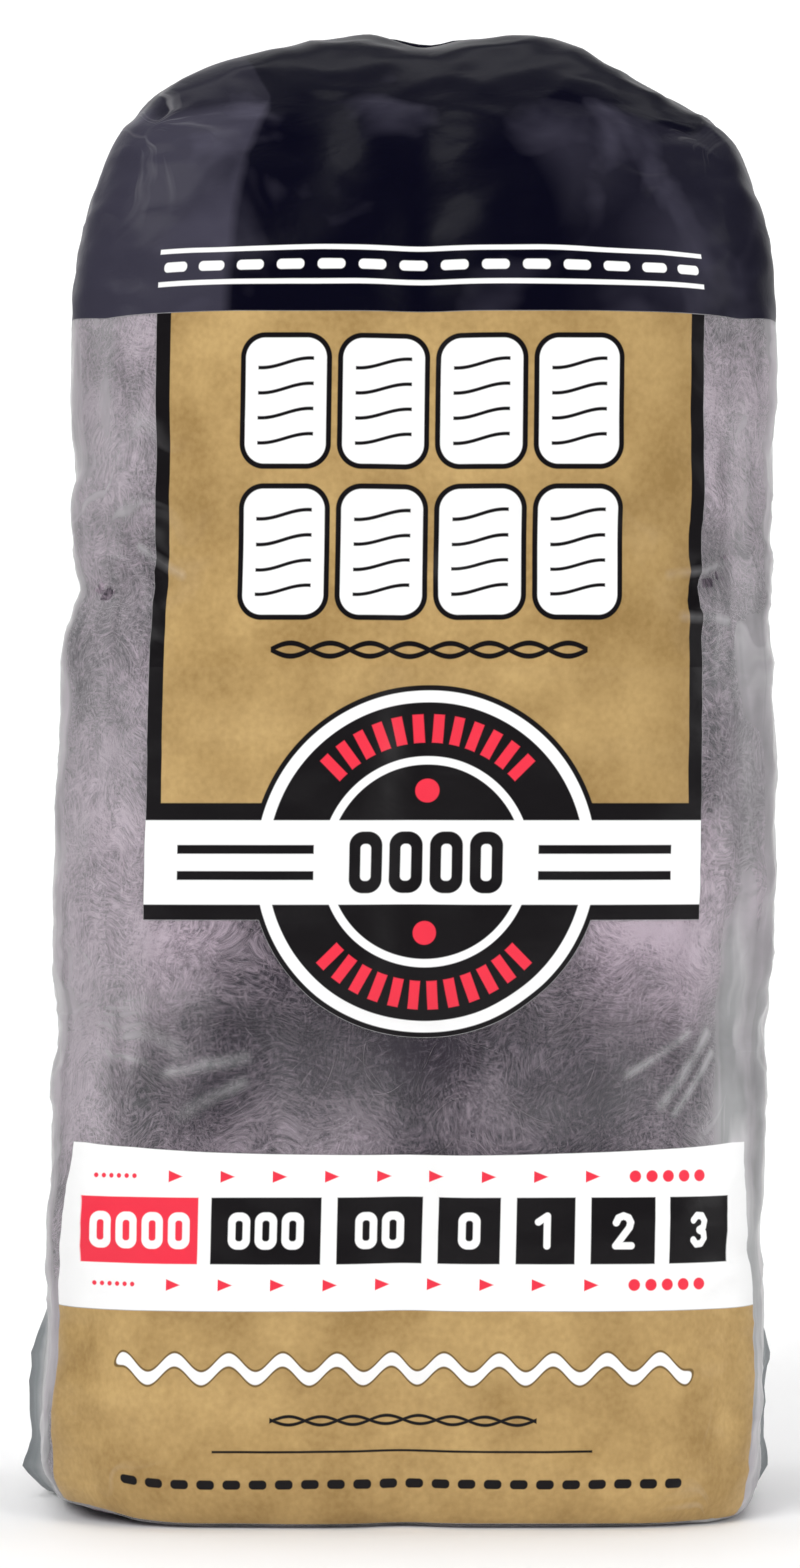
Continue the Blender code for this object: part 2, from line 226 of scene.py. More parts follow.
# Arrows above and below the boxes, and the dots at both their ends (middle, half length of the
# row, pitch, radius)
ARROW_OFFSET = 0.0091
ARROWS_FROM = -0.0405
ARROW_PITCH = 0.0088
ARROWS_TO = ARROWS_FROM + 8.5 * ARROW_PITCH
ARROW_SIZE = (0.0024, 0.0010)
DOTS = ((-0.0500, 0.0042, 0.0014, 0.00040), (0.0442, 0.00725, 0.0029, 0.0010))

# The motifs that fill the gold field and the panel
MOTIF_PITCH = (0.0168, 0.0254)
MOTIF_HEIGHT = 0.1775
MOTIF_HALF = (0.0070, 0.0106)
MOTIF_ROUND = 0.0034
MOTIF_RIM = 0.0009
MOTIF_WAVE = 0.0008
MOTIF_MARGIN = 0.0022  # between the lines on a pad and its edge
LINE_PITCH = MOTIF_PITCH[1] / 6
LINE_HALF = 0.0003
STRIPES = (0.2105, 0.2165)
STRIPE_HALF = 0.00045
TOP_DASH = (0.0024, 0.0009)
HALF_DASHES = 7  # how many dashes half the row has
WAVE_HEIGHT = 0.0272
WAVE_TURN = 0.0091
WAVE_HALF = 5.25 * WAVE_TURN
WAVE_RISE = 0.0016
WAVE_THICK = 0.0011
WAVE_RIM = 0.0004

# Two crossing lines on the gold field and on the panel: height, half length, rise, turn, half width
GOLD_LINES = (0.1483, 0.0270, 0.0011, 0.0135, 0.00045)
PANEL_LINES = (0.0185, 0.0225, 0.0007, 0.0110, 0.00028)

# The panel's thin rule (height, half width, half length) and its dashes (height, half length of
# the row, pitch, half size)
PANEL_RULE = (0.0133, 0.0002, 0.0320)
PANEL_DASHES = (0.0078, 0.0484, 0.0044, (0.0015, 0.0008))

# Materials change on the film at these places, where their prints agree
BADGE_ZONE = (0.0790, 0.1450)
ZONE_MARGIN = 0.0030

BARE = (0.65, 0.64, 0.655)
# Painted shade: the unprinted film is darker where it is seen at a slant, at the sides of the bag.
BARE_EDGE_SHADE = (0.50, 0.49, 0.50)
# Painted shade: darker streaks that stand in for the shade of small folds.
BARE_FOLD_SHADE = (0.34, 0.35, 0.35)
# Painted shade: darker film in the creased ears beside the base.
BARE_EAR_SHADE = (0.20, 0.22, 0.23)
NAVY = (0.0010, 0.0009, 0.0062)
# The greyer navy: partly thinner ink, partly painted sheen.
NAVY_THIN_SHEEN = (0.050, 0.047, 0.070)
BLACK = (0.006, 0.005, 0.006)
WHITE = (0.86, 0.86, 0.86)
GOLD_DARK = (0.31, 0.195, 0.072)
GOLD_LIGHT = (0.51, 0.345, 0.145)
# A darker gold: printed as the rim of the panel's wave, and used as painted shade over the right of
# the gold field.
GOLD_SHADE = (0.16, 0.10, 0.035)
RED = (0.80, 0.035, 0.065)

# Noise patterns are given as scale per metre, detail and, where they have one, stretch; ranges as
# the two ends of what is mapped and, where it isn't to 0 and 1, the two ends of what it becomes
GOLD_PATCHES = (62, 3.0)
GOLD_GRAIN = (900, 2.0)
GRAIN_SHARE = 0.25
GOLD_RANGE = (0.34, 0.66)
# Painted shade: the gold field is dimmed towards the right.
GOLD_RIGHT_SHADE = (0.0100, 0.0500, 0.0, 0.28)  # how the gold field is dimmed towards the right

# Where the navy ink looks greyer, partly as thinner ink and partly as painted sheen: at random,
# towards the sides, and in spots (across, up, reach and change). The top is kept darker, as painted
# shade against its sheen.
NAVY_NOISE = (40, 3.0)
NAVY_RANGE = (0.53, 0.80, 0.0, 0.8)
NAVY_LEFT = (-0.0330, -0.0352)
NAVY_RIGHT = (0.0240, 0.0460)
# Greyer on the left and on the right, partly as thinner ink and partly as painted sheen.
NAVY_SIDE_SHEEN = (0.72, 0.18)  # how much thinner it is on the left and on the right
NAVY_TOP_SHADE = 0.50
TOP_EDGE = (FILM_TOP - 0.006, FILM_TOP - 0.001)
NAVY_SHEEN_SPOTS = (
    (-0.0070, 0.2470, 0.017, 0.36),
    (0.0240, 0.2380, 0.018, 0.40),
    (-0.0230, 0.2360, 0.022, -0.70),
    (0.0080, 0.2330, 0.020, -0.70),
    (0.0120, 0.2560, 0.014, -0.60),
    (0.0480, 0.2180, 0.014, 0.30),
)

WOOL_DARK = (0.020, 0.014, 0.026)
WOOL_LIGHT = (0.54, 0.44, 0.52)

# How the wool's shade is mixed from its strands, its tufts and large clouds
STRANDS_UP = (480, 4.0, (1, 1, 4.0), 0.70)
STRANDS_ACROSS = (440, 4.0, (4.0, 4.0, 1), 0.70)
TUFT_NOISE = (120, 3.0)
CLOUD_NOISE = (24, 2.0, (1, 1, 1.3))
SHADE_SHARES = (0.46, 0.24, 0.30)
SHADE_RANGE = (0.415, 0.615)
SWIRL_SCALE = 42.0
SWIRL_REACH = 0.030
GRAIN_MIDDLE = 0.55
GRAIN_FORCE = 0.9  # how strongly single strands show past that middle

# Where the wool of the front is denser and lighter, or darker as painted shade in the row joints and
# dents: across, up, reach and change of shade. That fades in over this range of depth.
SPOT_DEPTHS = (0.0, -0.0150)
WOOL_SPOTS_AND_SHADE = (
    (-0.0430, 0.0980, 0.015, 0.45),
    (-0.0240, 0.0870, 0.026, -0.80),
    (0.0450, 0.0980, 0.026, 0.90),
    (0.0330, 0.0700, 0.038, -1.00),
    (-0.0020, 0.0800, 0.046, -1.00),
    (-0.0370, 0.0730, 0.021, -0.85),
    (-0.0130, 0.0655, 0.011, 0.20),
    (0.0120, 0.0665, 0.011, 0.18),
    (-0.0500, 0.1620, 0.012, -0.50),
    (0.0540, 0.1600, 0.012, -0.70),
    (0.0600, 0.1280, 0.030, -0.40),
    (0.0570, 0.0850, 0.012, -0.40),
)
WOOL_METALLIC = 0.30
WOOL_ROUGH = 0.60
WOOL_BUMP = (0.8, 0.0007)  # strength and height
STRAND_DARK = (0.16, 0.14, 0.16)
STRAND_LIGHT = (0.42, 0.38, 0.41)
STRAND_NOISE = (600, 1.0)
STRAND_RANGE = (0.35, 0.65)
STRAND_METALLIC = 0.8
STRAND_ROUGH = 0.35

# How cloudy bare film is face on, at its thinnest and thickest, how much more it is seen at a
# slant, towards the sides and the top, the painted highlight in its folds, its ears, and the most it
# gets
HAZE_NOISE = (30, 3.0)
HAZE_RANGE = (0.38, 0.64, 0.005, 0.10)
EDGE_HAZE = 0.60
EDGE_BLEND = 0.4
SIDE_HAZE = (0.0320, 0.0600, 0.0, 0.18)
TOP_HAZE = (0.2360, 0.2520, 0.0, 0.22)
FOLD_HIGHLIGHT = 0.40
EAR_HAZE = 0.55
MOST_HAZE = 0.92
# Painted highlight: how far ink is whitened in a fold.
FOLD_INK_HIGHLIGHT = 0.18  # how far ink whitens in a fold

# The uneven band of haze along the corners: how much, its noise and the places its edge goes to, its
# own fade, how far it is moved from the corner, and how it weakens upward
CORNER_HAZE = 0.27
CORNER_NOISE = (46, 2.0, (1, 1, 0.35))
CORNER_REACH = (0.38, 0.64, -0.0030, 0.0115)
CORNER_FADE = (0.0015, -0.0050)
CORNER_SHIFT = 0.0010
CORNER_TOP = (0.1350, 0.1050, 0.35, 1.0)

# Painted light: the film is lighter low down at the right corner of the front, as more haze: its
# fades across, up and in depth
RIGHT_PAINTED_LIGHT = 0.22
RIGHT_FADES = (0.0520, 0.0640), (0.1100, 0.0840), (-0.0100, -0.0260)

# Where the haze of the ears fades: outward, in depth, and above this share of their height
EAR_SIDE = (HALF_WIDTH - 0.0015, HALF_WIDTH - 0.0005)
EAR_DEPTH = (0.0060, 0.0015)
EAR_TOP = 0.8

# Darker streaks in bare film, painted shade of small folds, and the fine wrinkles that all the film
# has
STREAK_NOISE = (95, 3.0, (1, 1, 0.22))
STREAK_RANGE = (0.47, 0.58, 0.0, 0.75)
WRINKLE_NOISE = (120, 3.0, (1, 1, 1.6))
WRINKLE_FOLDS = 0.8
WRINKLE_BUMP = (0.30, 0.0006)

# Folds fan out from the sides at every joint between rows, from the base and from the shoulders, as
# painted highlights and as bumps
FAN_PITCH = ROW_JOINTS[1] - ROW_JOINTS[0]
FAN_SIDE = 0.0665
FAN_END = (0.034, 0.004)
FAN_START = (0.002, 0.010)
FAN_NOISE = (38, 2.0)
FAN_BEND = 2.2
FAN_GAPS = (0.62, 0.44)
FAN_SCALES = (3.6, 30.0, 14.0)  # of the turn, of the way outward and of the height
FAN_APART = 7.0  # keeps the folds of the two sides unlike each other
FAN_RANGE = (0.57, 0.72)

# Raised creases in the front as fine lines of painted highlight: where they break, how wide they are
# as a share of the crease, and the depth over which they fade
LINE_NOISE = (150, 2.0)
LINE_BREAKS = (0.36, 0.60, 0.20, 0.80)
LINE_WIDTH = 0.85
LINE_DEPTH = (-HALF_DEPTH + 0.006, -HALF_DEPTH + 0.001)

# How glossy each zone of the film is, as its specular level
CLEAR_GLOSS = 0.40
NAVY_GLOSS = 0.05
PRINT_GLOSS = 0.12
COAT_SHARE = 1 / 3  # of that, as a sharper gloss over it
FILM_ROUGH = 0.36
COAT_ROUGH = 0.14


def box_grid(low, high, counts):
    """The surface of a box as a grid: its points, and its quads with their faces out."""
    low, high = np.array(low, float), np.array(high, float)
    index, quads = {}, []

    def point(*place):
        return index.setdefault(place, len(index))

    for axis in range(3):
        first, second = (axis + 1) % 3, (axis + 2) % 3
        for end in (0, counts[axis]):
            for a in range(counts[first]):
                for b in range(counts[second]):
                    loop = []
                    for step_a, step_b in ((0, 0), (1, 0), (1, 1), (0, 1)):
                        place = [0, 0, 0]
                        place[axis], place[first], place[second] = end, a + step_a, b + step_b
                        loop.append(point(*place))
                    quads.append(loop if end else loop[::-1])
    lattice = np.array(list(index), float)
    return low + (high - low) * lattice / np.array(counts), quads


def near_joints(z, reach):
    """1 at the joints between rows, and less above and below them."""
    return sum(np.exp(-(((z - joint) / reach) ** 2)) for joint in ROW_JOINTS)


def settle(points):
    """Moves points of the square packing to where they lie in the filled bag."""
    x, y, z = np.array(points, float).T
    across, deep = abs(x) / HALF_WIDTH, abs(y) / HALF_DEPTH
    rise = np.maximum(0, z - SHOULDER) / DOME_HEIGHT
    plan = (across**PLAN_POWER + deep**PLAN_POWER) ** (1 / PLAN_POWER)
    whole = np.maximum((plan**DOME_POWER + rise**DOME_POWER) ** (1 / DOME_POWER), 1e-9)
    pull = np.maximum(np.maximum(across, deep), rise) / whole
    z = np.where(rise > 0, SHOULDER + (z - SHOULDER) * pull, z)
    x, y = x * pull, y * pull
    lift = np.maximum(0, 1 - z / TUCK_HEIGHT) ** 2
    x, y = x * (1 - TUCK_DEPTH / HALF_WIDTH * lift), y * (1 - TUCK_DEPTH / HALF_DEPTH * lift)
    near_row = near_joints(z, PINCH_REACH)
    near_column = np.exp(-((x / GROOVE_REACH) ** 2))
    z = z - VALLEY_DEPTH * near_column * (np.maximum(0, z - SHOULDER) / DOME_HEIGHT) ** 2
    x = x * (1 - PINCH_SIDE / HALF_WIDTH * near_row * (x / HALF_WIDTH) ** 4)
    y = y * (1 - (PINCH_FRONT * near_row + GROOVE_DEPTH * near_column) / HALF_DEPTH)
    for across, up, depth, reach in DENTS:
        dent = depth / HALF_DEPTH * np.exp(-((x - across) ** 2 + (z - up) ** 2) / reach**2)
        y = np.where(y < 0, y * (1 - dent), y)
    share = np.clip(z / FILM_TOP, 0, 1)
    x, z = slump(x, y, z)
    x = x * (1 - TAPER * share**2) + LEAN * share * (1 + LEAN_BEND * (1 - share))
    return np.stack([x, y, z], axis=1)


def slump(x, y, z):
    """The small give of this bag's shoulders, sides and one base corner."""
    rise, outer = np.maximum(0, z - SHOULDER) / DOME_HEIGHT, abs(x) / HALF_WIDTH
    for across, depth, reach in SLUMPS:
        z = z - depth * rise**2 * np.exp(-(((x - across) / reach) ** 2))
    across, depth, reach = CORNER_LIFT
    low_front = np.clip(1 - z / LIFT_LIMIT, 0, 1) * np.clip(-y / HALF_DEPTH, 0, 1)
    z = z + depth * low_front * np.exp(-(((x - across) / reach) ** 2))
    pull = SIDE_EASE * outer**EASE_POWER
    for side, height, depth, reach in SIDE_PULLS:
        near = np.exp(-(((z - height) / reach) ** 2))
        pull = pull + depth * outer**PULL_POWER * (x * side > 0) * near
    return x * (1 - pull / HALF_WIDTH), z


def read(items, name):
    """The vectors of that name in a mesh's vertices or in an attribute's data."""
    values = np.zeros(len(items) * 3, np.float32)
    items.foreach_get(name, values)
    return values.reshape(-1, 3).astype(float)


def read_all(mesh):
    """The points of a mesh, their normals and their places in the square packing."""
    places = read(mesh.attributes["flat"].data, "vector")
    return read(mesh.vertices, "co"), read(mesh.vertices, "normal"), places


def set_points(mesh, points):
    mesh.vertices.foreach_set("co", points.astype(np.float32).ravel())
    mesh.update()


def link(name, data):
    thing = bpy.data.objects.new(name, data)
    bpy.context.scene.collection.objects.link(thing)
    return thing


def new_object(name, points, faces, flat=None):
    mesh = bpy.data.meshes.new(name)
    mesh.from_pydata(points.tolist(), [], faces)
    mesh.shade_smooth()
    if flat is not None:
        place = mesh.attributes.new("flat", "FLOAT_VECTOR", "POINT")
        place.data.foreach_set("vector", np.array(flat, np.float32).ravel())
    return link(name, mesh)


def surface_of(thing):
    """The object's surface, to find the nearest place on it."""
    return BVHTree.FromObject(thing, bpy.context.evaluated_depsgraph_get())


def subdivide(thing):
    """Smooths the object's mesh once and for all."""
    smooth = thing.modifiers.new("smooth", "SUBSURF")
    smooth.levels = smooth.render_levels = 1
    graph = bpy.context.evaluated_depsgraph_get()
    mesh = bpy.data.meshes.new_from_object(thing.evaluated_get(graph), depsgraph=graph)
    thing.modifiers.clear()
    thing.data = mesh
    mesh.name = thing.name


def ripple(points, size, seed, octaves=2):
    """A smooth random height at each point, about -1 to 1, with bumps of the given size."""
    shift = Vector((seed * 7.31, seed * 3.17, seed * 5.53))
    return np.array([
        noise.fractal(Vector(point) / size + shift, 1.0, 2.0, octaves) for point in points
    ])


# The film bag


def crease_heights(points):
    """How far the creases in the front lift each point, out of the film."""
    x, z = points[:, 0], points[:, 2]
    height = np.zeros(len(points))
    for x1, z1, x2, z2, lift, width in CREASES:
        length = math.hypot(x2 - x1, z2 - z1)
        along = np.clip(((x - x1) * (x2 - x1) + (z - z1) * (z2 - z1)) / length**2, 0, 1)
        off = np.hypot(x - x1 - along * (x2 - x1), z - z1 - along * (z2 - z1))
        fade = np.sin(math.pi * np.clip(along, 0.08, 0.92))
        height += lift * fade * np.exp(-((off / width) ** 2))
    return np.where(points[:, 1] < 0, height, 0)


def pull_ears(points, flat):
    """Draws the sides out at half depth, near the base, into the ears of the bottom weld."""
    points = points.copy()
    for side, reach in EAR_REACH.items():
        share = np.clip(flat[:, 2] / EAR_HEIGHT, 0, 1)
        form = np.interp(share, *np.array(EAR_SHAPE).T)
        fin = np.exp(-np.abs(flat[:, 1]) / EAR_PINCH)
        on_side = (flat[:, 0] * side > HALF_WIDTH - 1e-6) & (flat[:, 2] < EAR_HEIGHT)
        points[:, 0] += np.where(on_side, side * reach * form * fin, 0)
    return points


def give_way(points):
    """How far film and wool lie outside their settled place together, in long soft waves."""
    size, seed, high = FILM_WAVE
    waves = ripple(points * (1.0, 1.0, 1.5), size, seed) * high
    return waves + np.minimum(crease_heights(points), 0)


def crumple(points, normals, flat):
    """Gives the settled film its slack: long soft waves, small crumples and the creases."""
    size, seed, high = RIDGES
    ridges = -abs(ripple(points * (1.0, 1.0, 1.8), size, seed))
    ridges -= ridges.mean()
    near_row = near_joints(points[:, 2], JOINT_SPREAD)
    near_side = np.clip((abs(flat[:, 0]) - SIDE_FROM) / LOOSE_FADE, 0, 1)
    near_top = np.clip((flat[:, 2] - TOP_FROM) / LOOSE_FADE, 0, 1)
    near_base = np.clip(1 - flat[:, 2] / LOOSE_FADE, 0, 1) * near_side
    loose = LOOSE + LOOSE_JOINT * near_row * near_side + LOOSE_SIDE * near_side
    loose += LOOSE_TOP * near_top + LOOSE_BASE * near_base
    raised = np.maximum(crease_heights(points), 0)
    lift = give_way(points) + np.maximum(ridges * loose * high, -PRESS_IN) + raised
    standing = np.clip(points[:, 2] / STAND_HEIGHT, 0, 1)
    moved = points + normals * (lift * standing)[:, None]
    moved = pull_ears(moved, flat)
    moved[:, 2] = np.maximum(moved[:, 2], 0)
    return moved


def add_mesh(thing, verts, faces, flats, slot):
    """Adds loose faces to a mesh, with their places in the square packing."""
    bm = bmesh.new()
    bm.from_mesh(thing.data)
    flat = bm.verts.layers.float_vector["flat"]
    made = [bm.verts.new(vert) for vert in verts]
    for vert, place in zip(made, flats):
        vert[flat] = Vector(place)
    for face in faces:
        new = bm.faces.new([made[corner] for corner in face])
        new.material_index = slot
        new.smooth = True
    bm.to_mesh(thing.data)
    bm.free()


def fold_flap(film):
    """The welded end of the bag: a crimped strip that lies folded back over the top of the film."""
    surface = surface_of(film)
    half, end = FLAP_WIDTH / 2, FLAP_ROOT + FLAP_LENGTH
    strip = (-half, FLAP_ROOT, FLAP_GAP), (half, end, FLAP_GAP + FLAP_THICKNESS)
    neck = (-half, FLAP_ROOT, 0), (half, FLAP_ROOT + FLAP_THICKNESS, FLAP_GAP)
    across = round(FLAP_WIDTH / FLAP_CELL[0])
    for low, high, steps in ((*strip, round(FLAP_LENGTH / FLAP_CELL[1])), (*neck, 2)):
        places, quads = box_grid(low, high, (across, steps, 1))
        seats = settle(places * (1, 1, 0) + (0, 0, FILM_TOP))
        ribs = np.sin(places[:, 1] * (2 * math.pi / CRIMP_PITCH)) * CRIMP_HIGH
        size, seed, high = FLAP_WAVE
        lifts = places[:, 2] + ribs + ripple(places, size, seed) * places[:, 1] * high
        verts = []
        for seat, lift in zip(seats, lifts):
            near, normal, _, _ = surface.find_nearest(Vector(seat))
            verts.append(near + normal * lift)
        add_mesh(film, verts, quads, places + (0, 0, FILM_TOP), 1)


def punch_vent(film):
    """Cuts the round air hole out of the back film."""
    bm = bmesh.new()
    bm.from_mesh(film.data)
    flat = bm.verts.layers.float_vector["flat"]
    centre = Vector((0, HALF_DEPTH, VENT_HEIGHT))
    gone = []
    for face in bm.faces:
        middle = sum((vert[flat] for vert in face.verts), Vector()) / len(face.verts)
        if (middle - centre).length < VENT_RADIUS:
            gone.append(face)
    rim = {vert for face in gone for vert in face.verts}
    bmesh.ops.delete(bm, geom=gone, context="FACES")
    for vert in (vert for vert in rim if vert.is_valid):
        spoke = vert[flat] - centre
        step = spoke * (VENT_RADIUS / spoke.length) - spoke
        vert.co += step
        vert[flat] = vert[flat] + step
    bm.to_mesh(film.data)
    bm.free()


def make_film(materials):
    low, high = (-HALF_WIDTH, -HALF_DEPTH, 0), (HALF_WIDTH, HALF_DEPTH, FILM_TOP)
    counts = [round((end - start) / FILM_CELL) for start, end in zip(low, high)]
    flat, quads = box_grid(low, high, counts)
    film = new_object("film", settle(flat), quads, flat)
    subdivide(film)
    points, normals, place = read_all(film.data)
    set_points(film.data, crumple(points, normals, place))
    film.data.shade_smooth()
    for material in materials:
        film.data.materials.append(material)
    corners = np.zeros(len(film.data.loops), np.int32)
    film.data.loops.foreach_get("vertex_index", corners)
    middles = place[corners.reshape(-1, 4)].mean(axis=1)
    film.data.polygons.foreach_set("material_index", film_zones(middles))
    fold_flap(film)
    punch_vent(film)
    return film


# The pads

PAD_CELL = 0.0030
PAD_ROUND = 0.0004
PAD_GROWTH = 0.0011  # how far each side reaches past the CAD's, so that the wool meets in a joint
OUTSIDE = 0.0030  # what lies this near the film in the square packing follows its waves
SET_BACK = 0.0009  # how far it is set back from there, under the tufts
JOINT_BACK = 0.0005  # and how far the other sides are set back
LUMPS = (0.016, 33, 0.0004)  # size, seed and height
TUFTS = (0.0045, 13, 0.0009)
NEAR_FILM = 0.0040
CLEAR_OF_FILM = 0.00028  # how far inside the film the wool stays

# Waves in the joints: how high and long they are in depth, then along and up, and their reach
DEEP_WAVE = (0.0014, 0.0210)
LONG_WAVE = 0.0009
ALONG_PITCHES = (0.0370, 0.0130)
UP_PITCHES = (0.0410, 0.0150)
WAVE_REACH = 0.0140

# Loose strands: how many on a pad, how many steps each has, ranges of a step's length, of the
# strand's thickness and of its height over the pad, and how much it turns at a step
STRANDS = 90
STRAND_STEPS = 12
STRAND_STEP = (0.0004, 0.0010)
STRAND_THICK = (0.000015, 0.000035)
STRAND_LIFT = (0.00002, 0.00014)
STRAND_BEND = 0.06
BEND_CHANGE = 0.02


def round_block(points, half, radius):
    """Rounds the edges of a block whose surface points run from -half to half."""
    core = np.clip(points, -(half - radius), half - radius)
    off = points - core
    length = np.linalg.norm(off, axis=1, keepdims=True)
    reach = np.abs(off).max(axis=1, keepdims=True)
    return core + off / np.maximum(length, 1e-9) * reach


def jostle(points):
    """Waves in the joints between pads, the same for all, so that no joint runs straight."""
    x, y, z = points.T
    high, pitch = DEEP_WAVE
    wave = high * np.sin(y * (2 * math.pi / pitch) + 0.6)
    along, up = [
        np.sin(level * (2 * math.pi / long) + turn) + 0.6 * np.sin(level * (2 * math.pi / short))
        for level, (long, short), turn in ((x, ALONG_PITCHES, 1.0), (z, UP_PITCHES, 2.0))
    ]
    near_row = near_joints(z, WAVE_REACH)
    near_column = np.exp(-((x / WAVE_REACH) ** 2))
    shifted_x = x + (wave + LONG_WAVE * up) * near_column
    return np.stack([shifted_x, y, z + (wave + LONG_WAVE * along) * near_row], axis=1)


def lay_strands(pad, outward, seed):
    """Loose single strands on the sides of a pad that can be seen, as thin closed tubes."""
    draw = random.Random(seed)
    surface = surface_of(pad)
    points = read(pad.data.vertices, "co")
    low, high = points.min(axis=0), points.max(axis=0)
    middle, size = Vector((low + high) / 2), Vector(high - low)
    verts, faces = [], []
    for _ in range(STRANDS):
        side = draw.choice(outward)
        spread = [turn * 0.5 if turn else draw.uniform(-0.48, 0.48) for turn in side]
        start = middle + Vector([length * share for length, share in zip(size, spread)])
        heading = Vector([0 if side[i] else draw.gauss(0, 1) for i in range(3)]).normalized()
        bend = draw.gauss(0, STRAND_BEND)
        step = draw.uniform(*STRAND_STEP)
        thick = draw.uniform(*STRAND_THICK)
        path = []
        for _ in range(STRAND_STEPS):
            near, normal, _, _ = surface.find_nearest(start)
            path.append((near + normal * draw.uniform(*STRAND_LIFT), normal))
            heading = (heading - normal * heading.dot(normal)).normalized()
            heading.rotate(Quaternion(normal, bend))
            bend += draw.gauss(0, BEND_CHANGE)
            start = near + heading * step
        first = len(verts)
        for number, (point, normal) in enumerate(path):
            ahead = path[min(number + 1, len(path) - 1)][0] - path[max(number - 1, 0)][0]
            across = ahead.cross(normal).normalized()
            taper = thick * min(1.0, 0.25 + min(number, len(path) - 1 - number) * 0.5)
            verts += [point + across * taper, point - across * taper, point + normal * taper * 1.4]
        for ring in range(first, len(verts) - 3, 3):
            for corner in range(3):
                after = (corner + 1) % 3
                faces.append((ring + corner, ring + 3 + corner, ring + 3 + after, ring + after))
        faces += [(first, first + 1, first + 2), (len(verts) - 1, len(verts) - 2, len(verts) - 3)]
    return verts, faces


def hold_inside(points, film):
    """Moves points that come too near the film back inside it."""
    held = points.copy()
    for number, point in enumerate(points):
        near, normal, _, distance = film.find_nearest(Vector(point))
        if distance < NEAR_FILM:
            over = (Vector(point) - near).dot(normal) + CLEAR_OF_FILM
            if over > 0:
                held[number] -= np.array(normal) * over
    return held


def make_pad(column, row, layer, materials, film):
    counts = np.maximum(4, np.round(PAD_SIZE / PAD_CELL)).astype(int)
    half = PAD_SIZE / 2 + PAD_GROWTH
    grid, quads = box_grid(-half, half, list(counts))
    number = np.array([column, layer, row])
    centre = -BLOCK / 2 + PAD_SIZE / 2 + number * (PAD_SIZE + CLEARANCE)
    centre[2] += FLOOR + BLOCK[2] / 2
    block = round_block(grid, half, PAD_ROUND) + centre
    seed = 10 + column + 2 * layer + 4 * row
    name = f"wool_{LAYERS[layer]}_{COLUMNS[column]}_{ROWS[row]}"
    pad = new_object(name, settle(jostle(block)), quads, block)
    subdivide(pad)
    points, normals, place = read_all(pad.data)
    to_side, to_front = HALF_WIDTH - abs(place[:, 0]), HALF_DEPTH - abs(place[:, 1])
    outside = np.minimum(to_side, to_front) < OUTSIDE
    facing = np.where(to_side < to_front, abs(normals[:, 0]), abs(normals[:, 1]))
    lumps = ripple(points, *LUMPS[:2]) * LUMPS[2]
    tufts = abs(ripple(points * (1.0, 1.0, 2.2), *TUFTS[:2], 3)) * TUFTS[2]
    lift = lumps + tufts + np.where(outside, (give_way(points) - SET_BACK) * facing, -JOINT_BACK)
    points = points + normals * lift[:, None]
    points[outside] = hold_inside(points[outside], film)
    points[:, 2] = np.maximum(points[:, 2], FLOOR)
    set_points(pad.data, points)
    pad.data.shade_smooth()
    pad.data.materials.append(materials[0])
    outward = [(1 if column else -1, 0, 0), (0, 1 if layer else -1, 0), (0, 1 if layer else -1, 0)]
    if row == len(ROWS) - 1:
        outward.append((0, 0, 1))
    verts, faces = lay_strands(pad, outward, seed)
    pad.data.materials.append(materials[1])
    add_mesh(pad, verts, faces, verts, 1)
    return pad


# Materials


class Field:
    """A number that a material works out at each point of a surface."""

    def __init__(self, tree, socket):
        self.tree, self.socket = tree, socket

    def math(self, operation, *others, clamp=False):
        node = self.tree.nodes.new("ShaderNodeMath")
        node.operation, node.use_clamp = operation, clamp
        for slot, value in zip(node.inputs, (self, *others)):
            plug(self.tree, slot, value)
        return Field(self.tree, node.outputs[0])

    def __add__(self, other):
        return self.math("ADD", other)

    def __sub__(self, other):
        return self.math("SUBTRACT", other)

    def __mul__(self, other):
        return self.math("MULTIPLY", other)

    def __truediv__(self, other):
        return self.math("DIVIDE", other)

    def __abs__(self):
        return self.math("ABSOLUTE")

    def least(self, other):
        return self.math("MINIMUM", other)

    def most(self, other):
        return self.math("MAXIMUM", other)

    def sine(self):
        return self.math("SINE")

    def span(self, other):
        """The distance to a point that lies this far across and the other far up."""
        return (self * self + other * other).math("SQRT")

    def wrapped(self, pitch):
        """The distance past the last multiple of the pitch."""
        return self.math("FLOORED_MODULO", pitch)

    def inside(self, blur=BLUR):
        """Coverage from a signed distance: 1 inside the shape, 0 outside it."""
        return self.math("MULTIPLY_ADD", -1 / blur, 0.5, clamp=True)


def plug(tree, slot, value):
    """Links a field or socket to a node's input, or sets a plain value there."""
    if isinstance(value, Field):
        tree.links.new(value.socket, slot)
    elif isinstance(value, bpy.types.NodeSocket):
        tree.links.new(value, slot)
    else:
        slot.default_value = value


def set_inputs(tree, node, **values):
    for name, value in values.items():
        plug(tree, node.inputs[name.replace("_", " ")], value)


def add_node(tree, kind, settings=None, **values):
    node = tree.nodes.new("ShaderNode" + kind)
    for name, value in (settings or {}).items():
        setattr(node, name, value)
    set_inputs(tree, node, **values)
    return node


def vector_math(tree, operation, first, second):
    node = add_node(tree, "VectorMath", dict(operation=operation))
    plug(tree, node.inputs[0], first)
    plug(tree, node.inputs[1], second)
    return node.outputs[0]


def add_bump(tree, shader, heights, strength, distance):
    bump = add_node(tree, "Bump", Height=heights, Strength=strength, Distance=distance)
    plug(tree, shader.inputs["Normal"], bump.outputs[0])


def new_material(name):
    material = bpy.data.materials.new(name)
    material.use_nodes = True
    tree = material.node_tree
    return material, tree, tree.nodes["Principled BSDF"]


